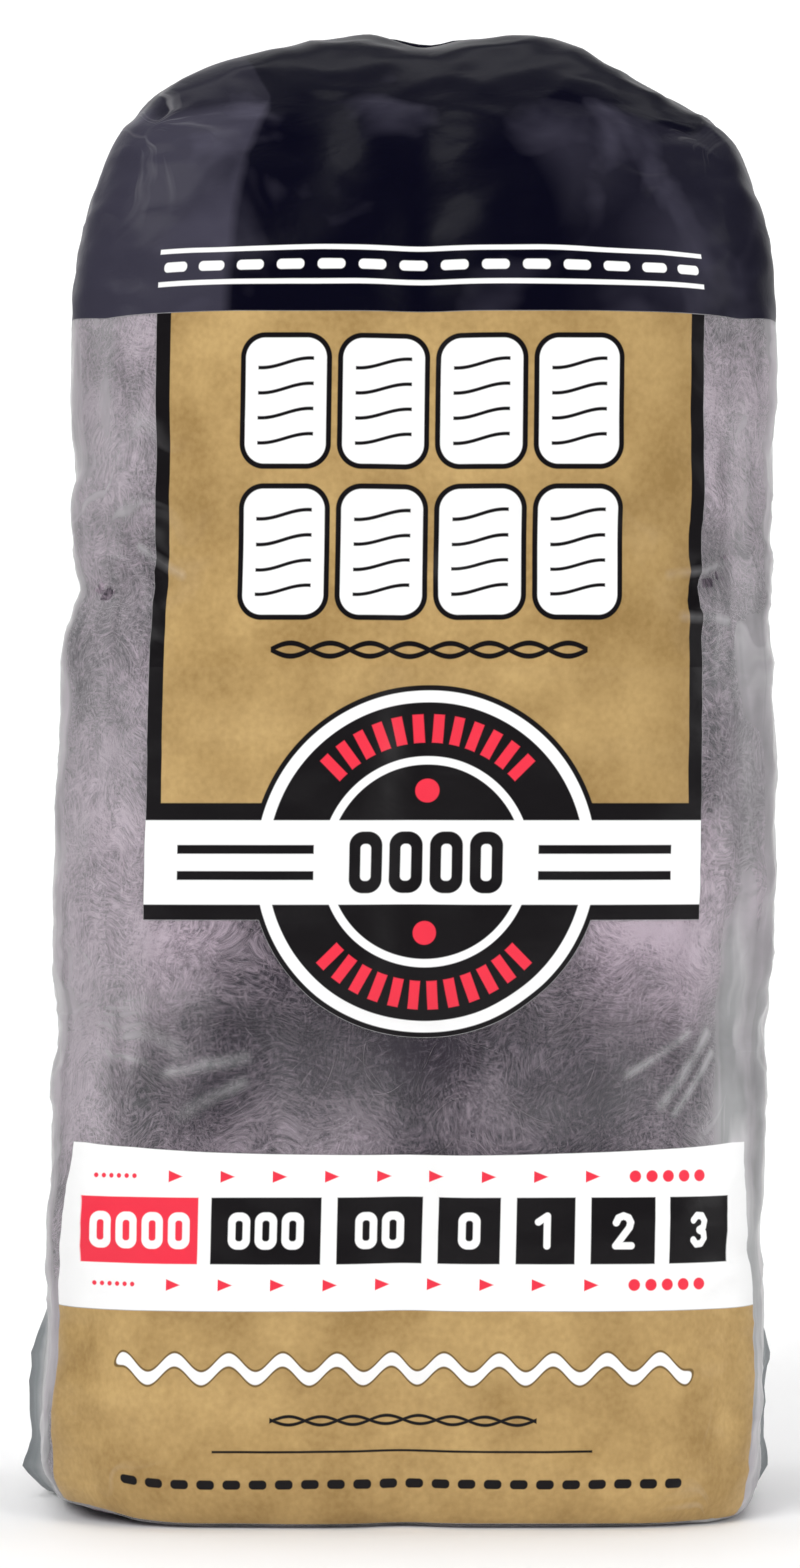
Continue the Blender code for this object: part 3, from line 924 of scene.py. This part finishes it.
def flat_place(tree):
    """The place in the square packing, as a vector socket and its three fields."""
    place = add_node(tree, "Attribute", dict(attribute_name="flat")).outputs["Vector"]
    parts = add_node(tree, "SeparateXYZ", Vector=place)
    return place, [Field(tree, socket) for socket in parts.outputs]


def noise_field(tree, place, scale, detail=2.0, stretch=(1, 1, 1), roughness=0.5, distortion=0.0):
    moved = add_node(tree, "Mapping", Vector=place, Scale=tuple(scale * share for share in stretch))
    made = add_node(tree, "TexNoise", Vector=moved.outputs[0], Scale=1.0, Detail=detail,
                    Roughness=roughness, Distortion=distortion)
    return Field(tree, made.outputs["Fac"])


def ranged(field, low, high, out_low=0.0, out_high=1.0):
    """Maps a field from one range to another, clamped."""
    node = add_node(field.tree, "MapRange", Value=field, From_Min=low, From_Max=high,
                    To_Min=out_low, To_Max=out_high)
    return Field(field.tree, node.outputs[0])


def near_spot(x, z, middle, up, reach):
    """1 in the middle of a round spot, and less outward, to 0 at its reach."""
    return ranged((x - middle).span(z - up), reach, 0.0)


def mix_colour(tree, share, below, above):
    node = add_node(tree, "Mix", dict(data_type="RGBA"))
    plug(tree, node.inputs[0], share)
    for slot, colour in ((node.inputs[6], below), (node.inputs[7], above)):
        plug(tree, slot, (*colour, 1.0) if isinstance(colour, tuple) else colour)
    return node.outputs[2]


def sharp_box(x, z, half_x, half_z):
    """The signed distance to a box, below nought inside it."""
    return (abs(x) - half_x).most(abs(z) - half_z)


def round_box(x, z, half_x, half_z, radius):
    over_x = (abs(x) - (half_x - radius)).most(0.0)
    over_z = (abs(z) - (half_z - radius)).most(0.0)
    return over_x.span(over_z) - radius


def nearest_of(distances):
    return reduce(Field.least, distances)


def line_distance(x, z, start, end):
    """The distance to a straight line between two points."""
    (x1, z1), (x2, z2) = start, end
    length = math.hypot(x2 - x1, z2 - z1)
    way_x, way_z = (x2 - x1) / length, (z2 - z1) / length
    off_x, off_z = x - x1, z - z1
    along = (off_x * way_x + off_z * way_z).most(0.0).least(length)
    return (off_x - along * way_x).span(off_z - along * way_z)


def stroke_distance(x, z, points):
    """The distance to a line drawn through the points."""
    return nearest_of(line_distance(x, z, *ends) for ends in zip(points, points[1:]))


class Ink:
    """Layers of ink on the film, each laid over the ones before it."""

    def __init__(self, tree, shift, evened, has_ears):
        self.tree, self.has_ears = tree, has_ears
        self.place, (self.across, self.y, self.z) = flat_place(tree)
        self.aside = abs(self.across)
        self.girth = self.aside + self.y + HALF_DEPTH  # way round the bag from the front's middle
        self.x = self.girth * self.across.math("SIGN") - shift
        if evened:
            share = self.girth / EVEN_REACH
            self.x = self.x * (share * share * share * share * -EVEN_SHARE + 1.0)
        self.colour, self.cover = BARE, None

    def lay(self, distance, colour):
        """Prints a colour where a signed distance is below nought, front of the bag only."""
        share = distance.most(self.girth - (HALF_WIDTH + WRAP)).inside()
        self.lay_share(share, colour)

    def lay_share(self, share, colour):
        self.colour = mix_colour(self.tree, share, self.colour, colour)
        self.cover = share if self.cover is None else self.cover.most(share)


def mottled_gold(tree, place):
    """Gold ink, thinner in soft patches where the grey wool shows through."""
    patches = noise_field(tree, place, *GOLD_PATCHES)
    grain = noise_field(tree, place, *GOLD_GRAIN)
    shade = ranged(patches * (1 - GRAIN_SHARE) + grain * GRAIN_SHARE, *GOLD_RANGE)
    return mix_colour(tree, shade, GOLD_DARK, GOLD_LIGHT)


def folded(field, pitch, times):
    """Distance from the nearest of 2**times equally spaced marks, centred on nought."""
    for fold in reversed(range(times)):
        field = abs(abs(field) - pitch * 2**fold / 2)
    return abs(field)


def nought(off, z, half_wide, half_high, hollow):
    """The figure nought, given the distance from its upright middle line."""
    outer = round_box(off, z, half_wide, half_high, half_wide * 0.85)
    narrow = half_wide - hollow
    inner = round_box(off, z, narrow, half_high - hollow * 1.1, narrow * 0.85)
    return outer.most(inner * -1.0)


def arc_points(x, z, radius, start, end, steps=5):
    turns = [math.radians(start + (end - start) * step / steps) for step in range(steps + 1)]
    return [(x + radius * math.cos(turn), z + radius * math.sin(turn)) for turn in turns]


def figure_strokes():
    """The points that the lines of the figures 1, 2 and 3 run through."""
    high, top = FIGURE_HIGH, FIGURE_HIGH / 2 - FIGURE_STROKE
    one = [(-0.20 * high, top - 0.16 * high), (0.04 * high, top), (0.04 * high, -top)]
    bend = 0.20 * high
    two = arc_points(0, top - bend, bend, 175, -35) + [(-0.21 * high, -top), (0.22 * high, -top)]
    bend = top / 2
    three = arc_points(0, bend, bend, 160, -90) + arc_points(0, -bend, bend, 90, -160)[1:]
    return one, two, three


def lay_pads_motif(ink):
    """Two rows of pale pads with dark rims and four lines across each, on the gold field."""
    off_x = folded(ink.x, MOTIF_PITCH[0], 2)
    off_z = folded(ink.z - MOTIF_HEIGHT, MOTIF_PITCH[1], 1)
    pad = round_box(off_x, off_z, *MOTIF_HALF, MOTIF_ROUND)
    ink.lay(pad - MOTIF_RIM, BLACK)
    ink.lay(pad, WHITE)
    wave = (ink.x * (2 * math.pi / MOTIF_PITCH[0])).sine() * MOTIF_WAVE
    level = ink.z + wave - MOTIF_HEIGHT
    lines = abs(level.wrapped(LINE_PITCH) - LINE_PITCH / 2) - LINE_HALF
    ink.lay(lines.most(pad + MOTIF_MARGIN), BLACK)


def lay_rule(ink, height, half, reach, colour):
    ink.lay((abs(ink.z - height) - half).most(abs(ink.x) - reach), colour)


def lay_strand_lines(ink, height, half, rise, turn, thick, colour):
    """Two thin lines that cross like twisted strands."""
    wave = (ink.x * (2 * math.pi / turn)).sine() * rise
    line = abs(abs(ink.z - height) - abs(wave)) - thick
    ink.lay(line.most(abs(ink.x) - half), colour)


def lay_dashes(ink, height, half, pitch, size, colour):
    """A row of short round-ended bars."""
    off = ink.x.wrapped(pitch) - pitch / 2
    dash = round_box(off, ink.z - height, *size, size[1] * 0.9)
    ink.lay(dash.most(abs(ink.x) - half), colour)


def lay_frame(ink):
    """The black frame and the gold field in it, with painted shade over the right of the gold field.
    """
    frame_half = (GOLD_TOP - STRIP_BOTTOM) / 2
    ink.lay(sharp_box(ink.x, ink.z - (STRIP_BOTTOM + frame_half), FRAME_HALF, frame_half), BLACK)
    gold_half = (GOLD_TOP - GOLD_BOTTOM) / 2
    # Painted shade over the right of the gold field.
    dim = ranged(ink.x, *GOLD_RIGHT_SHADE)
    gold = mix_colour(ink.tree, dim, mottled_gold(ink.tree, ink.place), GOLD_SHADE)
    ink.lay(sharp_box(ink.x, ink.z - (GOLD_BOTTOM + gold_half), GOLD_HALF, gold_half), gold)


def lay_top(ink):
    """The gold field with its pads, and the navy top with its stripes, over to the flap."""
    lay_frame(ink)
    lay_pads_motif(ink)
    lay_strand_lines(ink, *GOLD_LINES, BLACK)
    behind = (ink.y - FLAP_ROOT).least(ink.z * -1.0 + FILM_TOP + FLAP_GAP / 2)
    navy = (ink.z * -1.0 + GOLD_TOP).most(behind)
    ink.lay_share(navy.inside(), navy_thin_and_sheen(ink))
    for height in STRIPES:
        lay_rule(ink, height, STRIPE_HALF, FRAME_HALF, WHITE)
    middle = sum(STRIPES) / len(STRIPES)
    lay_dashes(ink, middle, FRAME_HALF, FRAME_HALF / HALF_DASHES, TOP_DASH, WHITE)


def lay_badge(ink):
    """The round badge with its ticks, and the white bar that lies over it."""
    lay_frame(ink)
    up = ink.z - BADGE_HEIGHT
    spoke = ink.x.span(up)
    ink.lay(spoke - BADGE_RADIUS, BLACK)
    for radius, half in BADGE_RINGS:
        ink.lay(abs(spoke - radius) - half, WHITE)
    turn = up.math("ARCTAN2", ink.x) + math.pi / 2
    off = turn.wrapped(TICK_TURN) - TICK_TURN / 2
    tick = (abs(off * spoke) - TICK_SIZE[0]).most(abs(spoke - TICK_RADIUS) - TICK_SIZE[1])
    ink.lay(tick.most(abs(ink.x) - abs(up) * TICK_LIMIT), RED)
    ink.lay(round_box(ink.x, abs(up) - DOT_OFFSET, DOT_RADIUS, DOT_RADIUS, DOT_RADIUS * 0.98), RED)
    bar_half = (BAR_TOP - BAR_BOTTOM) / 2
    level = ink.z - (BAR_BOTTOM + bar_half)
    ink.lay(sharp_box(ink.x, level, FRAME_HALF, bar_half), WHITE)
    ink.lay(nought(folded(ink.x, BAR_PITCH, 2), level, *BAR_FIGURE), BLACK)
    ink.lay(sharp_box(abs(ink.x) - RULES[0], abs(level) - RULES[1], *RULE_SIZE), BLACK)


def lay_scale(ink):
    """The gold panel and the white band with its boxes and figures."""
    panel = (ink.z - PANEL_TOP).most((ink.z - BASE_MARGIN) * -1.0)
    ink.lay(panel, mottled_gold(ink.tree, ink.place))
    sag = (ink.aside * ink.aside) * (BAND_SAG / HALF_WIDTH**2)
    band = (ink.z - sag - BAND_TOP + BAND_SAG).most((ink.z - PANEL_TOP) * -1.0)
    ends = ink.girth + ranged(ink.z, PANEL_TOP, BAND_TOP) * BAND_CUT - (HALF_WIDTH + WRAP)
    ink.lay(band.most(ends), WHITE)
    level = ink.z - (BOX_BOTTOM + BOX_TOP) / 2
    boxes = nearest_of(abs(ink.x - (left + right) / 2) - (right - left) / 2 for left, right in BOXES)
    boxes = boxes.most(abs(level) - (BOX_TOP - BOX_BOTTOM) / 2)
    ink.lay(boxes, mix_colour(ink.tree, (ink.x - BOXES[0][1] - RED_MARGIN).inside(), BLACK, RED))
    middles = [(left + right) / 2 for left, right in BOXES]
    noughts = folded(ink.x - middles[0], FIGURE_PITCH[0], 2)
    third = abs(ink.x - middles[1])
    noughts = noughts.least(third.least(abs(third - FIGURE_PITCH[1])))
    noughts = noughts.least(folded(ink.x - middles[2], FIGURE_PITCH[1], 1))
    noughts = noughts.least(abs(ink.x - middles[3]))
    figures = nought(noughts, level, *BOX_FIGURE)
    for strokes, narrow, middle in zip(figure_strokes(), FIGURE_NARROW, middles[4:]):
        off = ink.x - middle
        off = off * narrow if narrow != 1 else off
        figures = figures.least(stroke_distance(off, level, strokes) - FIGURE_STROKE)
    ink.lay(figures, WHITE)
    lay_arrows(ink, level)
    lay_dots(ink, level)
    lay_panel(ink)


def lay_arrows(ink, level):
    """Two rows of small triangles that point from fine to coarse."""
    off = (ink.x - ARROWS_FROM).wrapped(ARROW_PITCH)
    row = abs(abs(level) - ARROW_OFFSET)
    arrow = row - (off * -1.0 + ARROW_SIZE[0]) * (ARROW_SIZE[1] / ARROW_SIZE[0])
    half = (ARROWS_TO - ARROWS_FROM) / 2
    ink.lay(arrow.most(abs(ink.x - (ARROWS_FROM + half)) - half), RED)


def lay_dots(ink, level):
    """Fine dots at the fine end of the arrows and coarse ones at the coarse end."""
    row = abs(abs(level) - ARROW_OFFSET)
    for middle, half, pitch, radius in DOTS:
        off = (ink.x - middle + half).wrapped(pitch) - pitch / 2
        dot = off.span(row) - radius
        ink.lay(dot.most(abs(ink.x - middle) - half), RED)


def lay_panel(ink):
    """A pale wave, thin lines and a row of dashes on the gold panel."""
    wave = (ink.x * (2 * math.pi / WAVE_TURN)).sine() * WAVE_RISE
    line = abs(ink.z - WAVE_HEIGHT + wave)
    past = (abs(ink.x) - WAVE_HALF).most(0.0)
    band = line.span(past) - WAVE_THICK
    ink.lay(band - WAVE_RIM, GOLD_SHADE)
    ink.lay(band, WHITE)
    lay_strand_lines(ink, *PANEL_LINES, BLACK)
    lay_rule(ink, *PANEL_RULE, BLACK)
    lay_dashes(ink, *PANEL_DASHES, BLACK)


def navy_thin_and_sheen(ink):
    """Navy ink, greyer in large soft patches and towards the sides, partly thinner ink and partly
    painted sheen, and darker on the top as painted shade.
    """
    patches = noise_field(ink.tree, ink.place, *NAVY_NOISE, distortion=0.5)
    # Partly thinner ink and partly painted sheen: greyer in soft patches and towards the sides.
    thin_and_sheen = ranged(patches, *NAVY_RANGE) + ranged(ink.across, *NAVY_LEFT) * NAVY_SIDE_SHEEN[0]
    thin_and_sheen = thin_and_sheen + ranged(ink.across, *NAVY_RIGHT) * NAVY_SIDE_SHEEN[1]
    # Painted sheen in the lighter spots, and less of it in the darker ones.
    for *spot, change in NAVY_SHEEN_SPOTS:
        thin_and_sheen = thin_and_sheen + near_spot(ink.across, ink.z, *spot) * change
    # Painted shade: the top is kept darker, against its sheen.
    thin_and_sheen = thin_and_sheen - ranged(ink.z, *TOP_EDGE) * NAVY_TOP_SHADE
    return mix_colour(ink.tree, thin_and_sheen.most(0.0).least(1.0), NAVY, NAVY_THIN_SHEEN)


def fan_folds(ink):
    """Sharp folds that fan out from where the film is drawn in at the sides, for painted highlights
    and bumps.
    """
    off = ink.aside * -1.0 + FAN_SIDE
    up = (ink.z + (FAN_PITCH / 2 - ROW_JOINTS[0])).wrapped(FAN_PITCH) - FAN_PITCH / 2
    spoke = off.span(up)
    bend = noise_field(ink.tree, ink.place, *FAN_NOISE)
    turn = up.math("ARCTAN2", off) + bend * FAN_BEND
    side = ink.across.math("GREATER_THAN", 0.0) * FAN_APART
    around, outward, upward = FAN_SCALES
    rays = add_node(ink.tree, "CombineXYZ", X=turn * around, Y=spoke * outward,
                    Z=ink.z * upward + side)
    folds = ranged(noise_field(ink.tree, rays.outputs[0], 1.0, 2.0), *FAN_RANGE)
    fade = ranged(spoke, *FAN_END) * ranged(spoke, *FAN_START)
    return folds * fade * ranged(bend, *FAN_GAPS)


def crease_lines(ink, low, high):
    """The raised creases between two heights, as broken fine lines of painted highlight."""
    seen = [
        ((x1, z1), (x2, z2), 1 / width) for x1, z1, x2, z2, lift, width in CREASES
        if lift > 0 and low < max(z1, z2) and min(z1, z2) < high
    ]
    if not seen:
        return None
    lines = nearest_of(line_distance(ink.across, ink.z, *ends) * share for *ends, share in seen)
    broken = ranged(noise_field(ink.tree, ink.place, *LINE_NOISE), *LINE_BREAKS)
    return ranged(lines, LINE_WIDTH, 0.0) * broken * ranged(ink.y, *LINE_DEPTH)


def corner_haze(ink):
    """Where the film stands off the wool, in an uneven band along each upright corner."""
    round_corner = abs(ink.aside - abs(ink.y) + (HALF_DEPTH - HALF_WIDTH - CORNER_SHIFT))
    uneven = ranged(noise_field(ink.tree, ink.place, *CORNER_NOISE), *CORNER_REACH)
    return ranged(round_corner - uneven, *CORNER_FADE) * ranged(ink.z, *CORNER_TOP)


def ear_haze_and_shade(ink):
    """The creased film of the ears beside the base, cloudier and darker there as painted shade."""
    on_side = ranged(ink.aside, *EAR_SIDE)
    return on_side * ranged(abs(ink.y), *EAR_DEPTH) * ranged(ink.z, EAR_HEIGHT, EAR_HEIGHT * EAR_TOP)


def finish_film(ink, shader, heights, gloss):
    """Film that is clear and a little cloudy where unprinted, and solid where it is inked; with
    painted highlights in its folds, painted light low at the right corner, and painted shade at a
    slant, in dark streaks and in its ears.
    """
    tree = ink.tree
    folds = fan_folds(ink)
    lines = crease_lines(ink, *heights) if heights else None
    if lines:
        folds = folds.most(lines)
    edge = Field(tree, add_node(tree, "LayerWeight", Blend=EDGE_BLEND).outputs["Facing"])
    haze_and_painted_light = ranged(noise_field(tree, ink.place, *HAZE_NOISE), *HAZE_RANGE)
    haze_and_painted_light = haze_and_painted_light + edge * edge * EDGE_HAZE + ranged(ink.aside, *SIDE_HAZE)
    # Painted highlights: the folds are made whiter, as more haze.
    haze_and_painted_light = haze_and_painted_light + folds * FOLD_HIGHLIGHT + corner_haze(ink) * CORNER_HAZE
    haze_and_painted_light = haze_and_painted_light + ranged(ink.z, *TOP_HAZE)
    # Painted light: lighter film low down at the right corner of the front.
    across, upward, inward = RIGHT_FADES
    low_right = ranged(ink.across, *across) * ranged(ink.z, *upward)
    low_right = low_right * ranged(ink.y, *inward)
    haze_and_painted_light = haze_and_painted_light + low_right * RIGHT_PAINTED_LIGHT
    # Painted shade: the unprinted film is darker where it is seen at a slant.
    bare_with_shade = mix_colour(tree, edge, BARE, BARE_EDGE_SHADE)
    # Painted shade: darker streaks stand in for the shade of small folds.
    streaks = noise_field(tree, ink.place, *STREAK_NOISE, distortion=0.6)
    bare_with_shade = mix_colour(tree, ranged(streaks, *STREAK_RANGE), bare_with_shade, BARE_FOLD_SHADE)
    if ink.has_ears:
        # Painted shade: the ears are cloudier and darker.
        ear = ear_haze_and_shade(ink)
        haze_and_painted_light = haze_and_painted_light + ear * EAR_HAZE
        bare_with_shade = mix_colour(tree, ear, bare_with_shade, BARE_EAR_SHADE)
    haze_and_painted_light = haze_and_painted_light.least(MOST_HAZE)
    if ink.cover is None:
        cover, colour = haze_and_painted_light, bare_with_shade
    else:
        cover = haze_and_painted_light.most(ink.cover)
        # Painted highlight: ink is whitened in the folds.
        ink_with_highlight = mix_colour(tree, folds * FOLD_INK_HIGHLIGHT, ink.colour, BARE)
        colour = mix_colour(tree, ink.cover, bare_with_shade, ink_with_highlight)
    set_inputs(tree, shader, Alpha=cover, Base_Color=colour, Roughness=FILM_ROUGH,
               Specular_IOR_Level=gloss, Coat_Weight=gloss * COAT_SHARE, Coat_Roughness=COAT_ROUGH)
    wrinkles = noise_field(tree, ink.place, *WRINKLE_NOISE, distortion=0.4) + folds * WRINKLE_FOLDS
    add_bump(tree, shader, wrinkles, *WRINKLE_BUMP)


def make_film_material(name, lay, heights, shift, evened, gloss):
    material, tree, shader = new_material(name)
    ink = Ink(tree, shift, evened, lay is None)
    if lay:
        lay(ink)
    finish_film(ink, shader, heights, gloss)
    return material


# The film's materials: name, print, lowest and highest place on the front, how far right it is
# printed, whether it is evened, and gloss
FILM_ZONES = (
    ("film_clear", None, None, 0.0, False, CLEAR_GLOSS),
    ("film_top", lay_top, (BADGE_ZONE[1], FILM_TOP), PRINT_SHIFT, False, NAVY_GLOSS),
    ("film_badge", lay_badge, BADGE_ZONE, PRINT_SHIFT, False, PRINT_GLOSS),
    ("film_scale", lay_scale, (0.0, BADGE_ZONE[0]), 0.0, True, PRINT_GLOSS),
)


def film_zones(places):
    """The number of the film's material at each place in the square packing."""
    x, y, z = places.T
    near_front = (abs(x) + y + HALF_DEPTH < HALF_WIDTH + WRAP + ZONE_MARGIN) & (y < 0)
    top = (y < FLAP_ROOT + ZONE_MARGIN) & (z > GOLD_TOP - ZONE_MARGIN)
    zones = [top | near_front & (z > BADGE_ZONE[1]), near_front & (z > BADGE_ZONE[0]), near_front]
    return np.select(zones, [1, 2, 3], 0).astype(np.int32)


def make_wool_material():
    """Matted fine steel strands: light and dark strands in two crossing, swirling directions."""
    material, tree, shader = new_material("steel_wool")
    place, (_, depth, _) = flat_place(tree)
    front = ranged(depth, *SPOT_DEPTHS)
    warp = add_node(tree, "TexNoise", Vector=place, Scale=SWIRL_SCALE, Detail=2.0)
    bend = add_node(tree, "VectorMath", dict(operation="SCALE"), Vector=warp.outputs["Color"],
                    Scale=SWIRL_REACH)
    bent = vector_math(tree, "ADD", place, bend.outputs[0])
    middle = vector_math(tree, "SUBTRACT", bent, (SWIRL_REACH / 2,) * 3)
    swirl = add_node(tree, "SeparateXYZ", Vector=middle)
    up = noise_field(tree, bent, *STRANDS_UP)
    across = noise_field(tree, bent, *STRANDS_ACROSS)
    clouds = noise_field(tree, place, *CLOUD_NOISE)
    tufts = noise_field(tree, place, *TUFT_NOISE)
    mat = up.most(across)
    for_mat, for_tufts, for_clouds = SHADE_SHARES
    shade = ranged(mat * for_mat + tufts * for_tufts + clouds * for_clouds, *SHADE_RANGE)
    shift_x, _, shift_z = [Field(tree, socket) for socket in swirl.outputs]
    # Painted shade in the darker spots, at the joints between rows and in the dents; the lighter
    # spots are denser wool.
    for *spot, change in WOOL_SPOTS_AND_SHADE:
        near = near_spot(shift_x, shift_z, *spot) * front
        shade = shade + near * change if change > 0 else shade * (near * change + 1.0)
    shade = (shade + (mat - GRAIN_MIDDLE) * GRAIN_FORCE).most(0.0).least(1.0)
    colour = mix_colour(tree, shade, WOOL_DARK, WOOL_LIGHT)
    set_inputs(tree, shader, Base_Color=colour, Metallic=WOOL_METALLIC, Roughness=WOOL_ROUGH)
    add_bump(tree, shader, mat, *WOOL_BUMP)
    return material


def make_strand_material():
    """Bare bright steel of the single strands, duller in places."""
    material, tree, shader = new_material("steel_strand")
    place, _ = flat_place(tree)
    shade = ranged(noise_field(tree, place, *STRAND_NOISE), *STRAND_RANGE)
    colour = mix_colour(tree, shade, STRAND_DARK, STRAND_LIGHT)
    set_inputs(tree, shader, Base_Color=colour, Metallic=STRAND_METALLIC, Roughness=STRAND_ROUGH)
    return material


# The stage

CAMERA_DISTANCE = 0.7
CAMERA_HEIGHT = 0.1257
CAMERA_LENS = 60.5
CAMERA_SENSOR = 24

# The floor: half width, nearest and farthest place, height and bend of the backdrop, how far it
# lies below the pack, and the steps of its bend
STAGE_HALF = 3.0
STAGE_ENDS = (-4.0, 1.6)
STAGE_HEIGHT = 2.6
STAGE_BEND = 0.5
STAGE_DROP = 0.0002
STAGE_STEPS = 12
STAGE_COLOUR = (0.90, 0.90, 0.90, 1.0)
STAGE_ROUGH = 0.8
SURROUND = 0.16

# The soft lights: name, place, what it is aimed at, size and power
MIDDLE = (0, 0, 0.13)
LIGHTS = (
    ("key", (-0.9, -1.3, 1.2), MIDDLE, (0.9, 0.9), 20),
    ("fill", (1.3, -1.2, 0.6), MIDDLE, (0.8, 1.2), 13),
    ("top", (0.1, -0.5, 1.6), MIDDLE, (1.4, 0.8), 5),
    ("backdrop", (0, 0.2, 1.5), (0, 1.6, 0.4), (2.0, 0.8), 22),
)


def make_camera():
    data = bpy.data.cameras.new("camera")
    data.sensor_fit = "VERTICAL"
    data.sensor_height = CAMERA_SENSOR
    data.lens = CAMERA_LENS
    camera = link("camera", data)
    camera.location = (0, -CAMERA_DISTANCE, CAMERA_HEIGHT)
    camera.rotation_euler = (math.pi / 2, 0, 0)
    bpy.context.scene.camera = camera


def add_light(name, place, aim, size, power):
    data = bpy.data.lights.new(name, "AREA")
    data.shape = "RECTANGLE"
    data.size, data.size_y = size
    data.energy = power
    light = link(name, data)
    light.location = place
    light.rotation_euler = (Vector(aim) - Vector(place)).to_track_quat("-Z", "Y").to_euler()


def make_stage():
    """A pale floor that runs up into a backdrop, soft lights and a pale surround."""
    near, far = STAGE_ENDS
    bend = STAGE_BEND
    turns = [step / STAGE_STEPS * math.pi / 2 for step in range(1, STAGE_STEPS + 1)]
    profile = [(near, 0.0), (far - bend, 0.0)]
    profile += [(far - bend + bend * math.sin(turn), bend - bend * math.cos(turn)) for turn in turns]
    profile.append((far, STAGE_HEIGHT))
    points = [(side * STAGE_HALF, y, z - STAGE_DROP) for y, z in profile for side in (-1, 1)]
    faces = [(2 * i, 2 * i + 1, 2 * i + 3, 2 * i + 2) for i in range(len(profile) - 1)]
    floor = new_object("floor", np.array(points), faces)
    material, tree, shader = new_material("pale_floor")
    set_inputs(tree, shader, Base_Color=STAGE_COLOUR, Roughness=STAGE_ROUGH)
    floor.data.materials.append(material)
    for light in LIGHTS:
        add_light(*light)
    world = bpy.data.worlds.new("surround")
    world.use_nodes = True
    background = world.node_tree.nodes["Background"]
    set_inputs(world.node_tree, background, Color=(1.0, 1.0, 1.0, 1.0), Strength=SURROUND)
    bpy.context.scene.world = world
    bpy.context.scene.view_settings.view_transform = "Standard"


def main():
    make_camera()
    make_stage()
    film = make_film([make_film_material(*zone) for zone in FILM_ZONES])
    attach(film, "root")
    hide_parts("film_bag")
    wool = make_wool_material(), make_strand_material()
    surface = surface_of(film)
    for column in range(len(COLUMNS)):
        for row in range(len(ROWS)):
            for layer in range(len(LAYERS)):
                pad = make_pad(column, row, layer, wool, surface)
                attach(pad, "root")
                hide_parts(pad.name.replace("wool", "pad"))


main()
